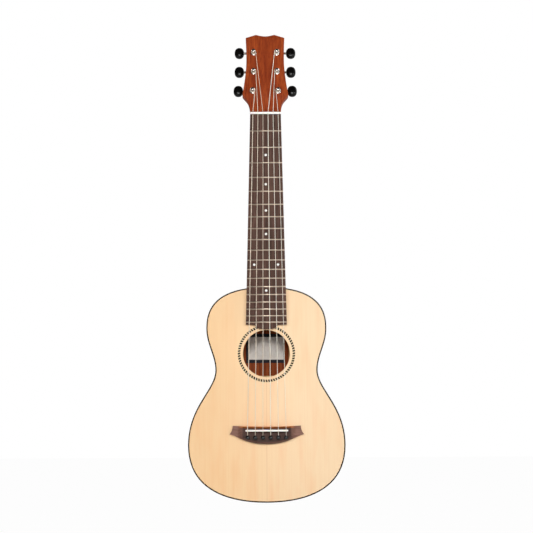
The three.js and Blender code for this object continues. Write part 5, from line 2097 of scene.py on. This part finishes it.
@dataclass
class Studio:
    """The camera, the soft lights, the white surroundings and the floor."""

    eye: Point = (-14.5, -2204.3, -510.1)
    yaw: float = 0.394
    pitch: float = 6.736
    roll: float = -0.241
    focal_pixels: float = 1378.7
    image: int = 533
    sensor: float = 36
    aim: Point = (0, 0, -0.25)
    floor: float = -735
    floor_half: float = 9000
    floor_glow: float = 0.97
    ambient: float = 0.13
    backdrop: float = 0.8
    room: float = 0.06

    def make_camera(self) -> None:
        """Sets the camera at the place from which the guitar is seen."""
        yaw, pitch, roll = (math.radians(angle) for angle in (self.yaw, self.pitch, self.roll))
        ahead = Vector((math.sin(yaw) * math.cos(pitch), math.cos(yaw) * math.cos(pitch),
                        math.sin(pitch)))
        right = Vector((math.cos(yaw), -math.sin(yaw), 0))
        up = right.cross(ahead)
        right, up = (math.cos(roll) * right + math.sin(roll) * up,
                     math.cos(roll) * up - math.sin(roll) * right)
        data = bpy.data.cameras.new("camera")
        data.sensor_width = self.sensor
        data.lens = self.sensor * self.focal_pixels / self.image
        data.clip_start, data.clip_end = 0.05, 60
        camera = set_out(data)
        rows = zip(right, up, -ahead, [value * MM for value in self.eye])
        camera.matrix_world = Matrix((*rows, (0, 0, 0, 1)))
        bpy.context.scene.camera = camera

    def make_lamp(self, name: str, place: Point, size: Flat, watts: float,
                  reflected: bool = True) -> None:
        """Hangs a soft oblong lamp, turned to the middle of the guitar.

        Args:
            name: The lamp's name.
            place: Its place in metres.
            size: Its width and height in metres.
            watts: Its power.
            reflected: Whether polished surfaces show it.
        """
        data = bpy.data.lights.new(name, "AREA")
        data.shape = "RECTANGLE"
        data.size, data.size_y = size
        data.energy = watts
        lamp = set_out(data)
        lamp.location = place
        way = Vector(self.aim) - Vector(place)
        lamp.rotation_euler = way.to_track_quat("-Z", "Y").to_euler()
        lamp.visible_glossy = reflected

    def make_world(self) -> None:
        """Lights from all round at a low level and shows pure white to the camera.

        Metal and lacquer mirror the white backdrop behind the guitar and the dim room in front.
        """
        world = bpy.context.scene.world = bpy.data.worlds.new("white_room")
        add = fresh_tree(world)
        ray = add("LightPath").outputs
        way = add("TexCoord").outputs["Object"]
        parts = add("SeparateXYZ", {0: way})
        toward = add("VectorMath", {0: way, 1: (0.8, 0.45, -0.1)}, operation="DOT_PRODUCT")
        mirror = add("MapRange", {
            "Value": toward, "From Min": 0.15, "From Max": 0.7, "To Min": self.room,
            "To Max": 1.0}, interpolation_type="SMOOTHSTEP")
        seen = add("Math", {
            0: ray["Is Camera Ray"], 1: ray["Is Transmission Ray"]}, operation="MAXIMUM")
        sky = add("MapRange", {
            "Value": parts.outputs["Y"], "From Min": -0.2, "From Max": 0.6,
            "To Min": self.ambient, "To Max": self.backdrop}, interpolation_type="SMOOTHSTEP")
        level = add("MapRange", {"Value": seen, "To Min": sky, "To Max": 1.0})
        # As numbers, the two values that the Mix node blends are its inputs 2 and 3.
        shown = add("Mix", {SHARE: ray["Is Glossy Ray"], 2: level, 3: mirror}, data_type="FLOAT")
        light = add("Background", {"Color": (1, 1, 1, 1), "Strength": shown})
        add("OutputWorld", {"Surface": light})

    def make_floor(self) -> None:
        """Lays a wide white floor under the guitar, which glows to the camera and in mirrors."""
        half = self.floor_half
        corners = [(x, y, self.floor) for x, y in ((-half, -half), (half, -half), (half, half),
                                                   (-half, half))]
        plane = Shell(corners, [(0, 1, 2, 3)]).piece("floor")
        material = bpy.data.materials.new("white_floor")
        add = fresh_tree(material)
        matt = add("BsdfDiffuse", {"Color": (0.9, 0.9, 0.9, 1)})
        glow = add("Emission", {"Color": (1, 1, 1, 1), "Strength": 1.0})
        ray = add("LightPath").outputs
        seen = add("Math", {0: ray["Is Camera Ray"], 1: ray["Is Glossy Ray"]}, operation="MAXIMUM")
        part = add("Math", {0: seen, 1: self.floor_glow}, operation="MULTIPLY")
        both = add("MixShader", {0: part, 1: matt, 2: glow})
        add("OutputMaterial", {"Surface": both})
        plane.data.materials.append(material)

    def build(self) -> None:
        """Sets up the studio and the plain colour settings."""
        self.make_camera()
        self.make_lamp("key", (0.0, -4.0, 0.6), (1.3, 0.75), 71)
        self.make_lamp("left", (-2.3, -3.3, 0.6), (0.6, 0.8), 21, reflected=False)
        self.make_lamp("right", (2.3, -3.3, 0.6), (0.6, 0.8), 26)
        self.make_lamp("kicker", (3.2, -1.3, 0.2), (0.8, 0.8), 9)
        self.make_world()
        self.make_floor()
        bpy.context.scene.view_settings.view_transform = "Standard"


def main() -> None:
    """Builds the guitar and its studio."""
    logging.basicConfig(level=logging.INFO, format="%(name)s: %(message)s")
    scale = Scale()
    body = Body(scale)
    neck = Neck(scale, body)
    bridge = Bridge(scale)
    for assembly in (Studio(), body, neck, Fingerboard(scale), bridge, *Machine.all(neck),
                     Hardware(neck), Strings(scale, neck, bridge)):
        assembly.build()


if __name__ == "__main__":
    main()
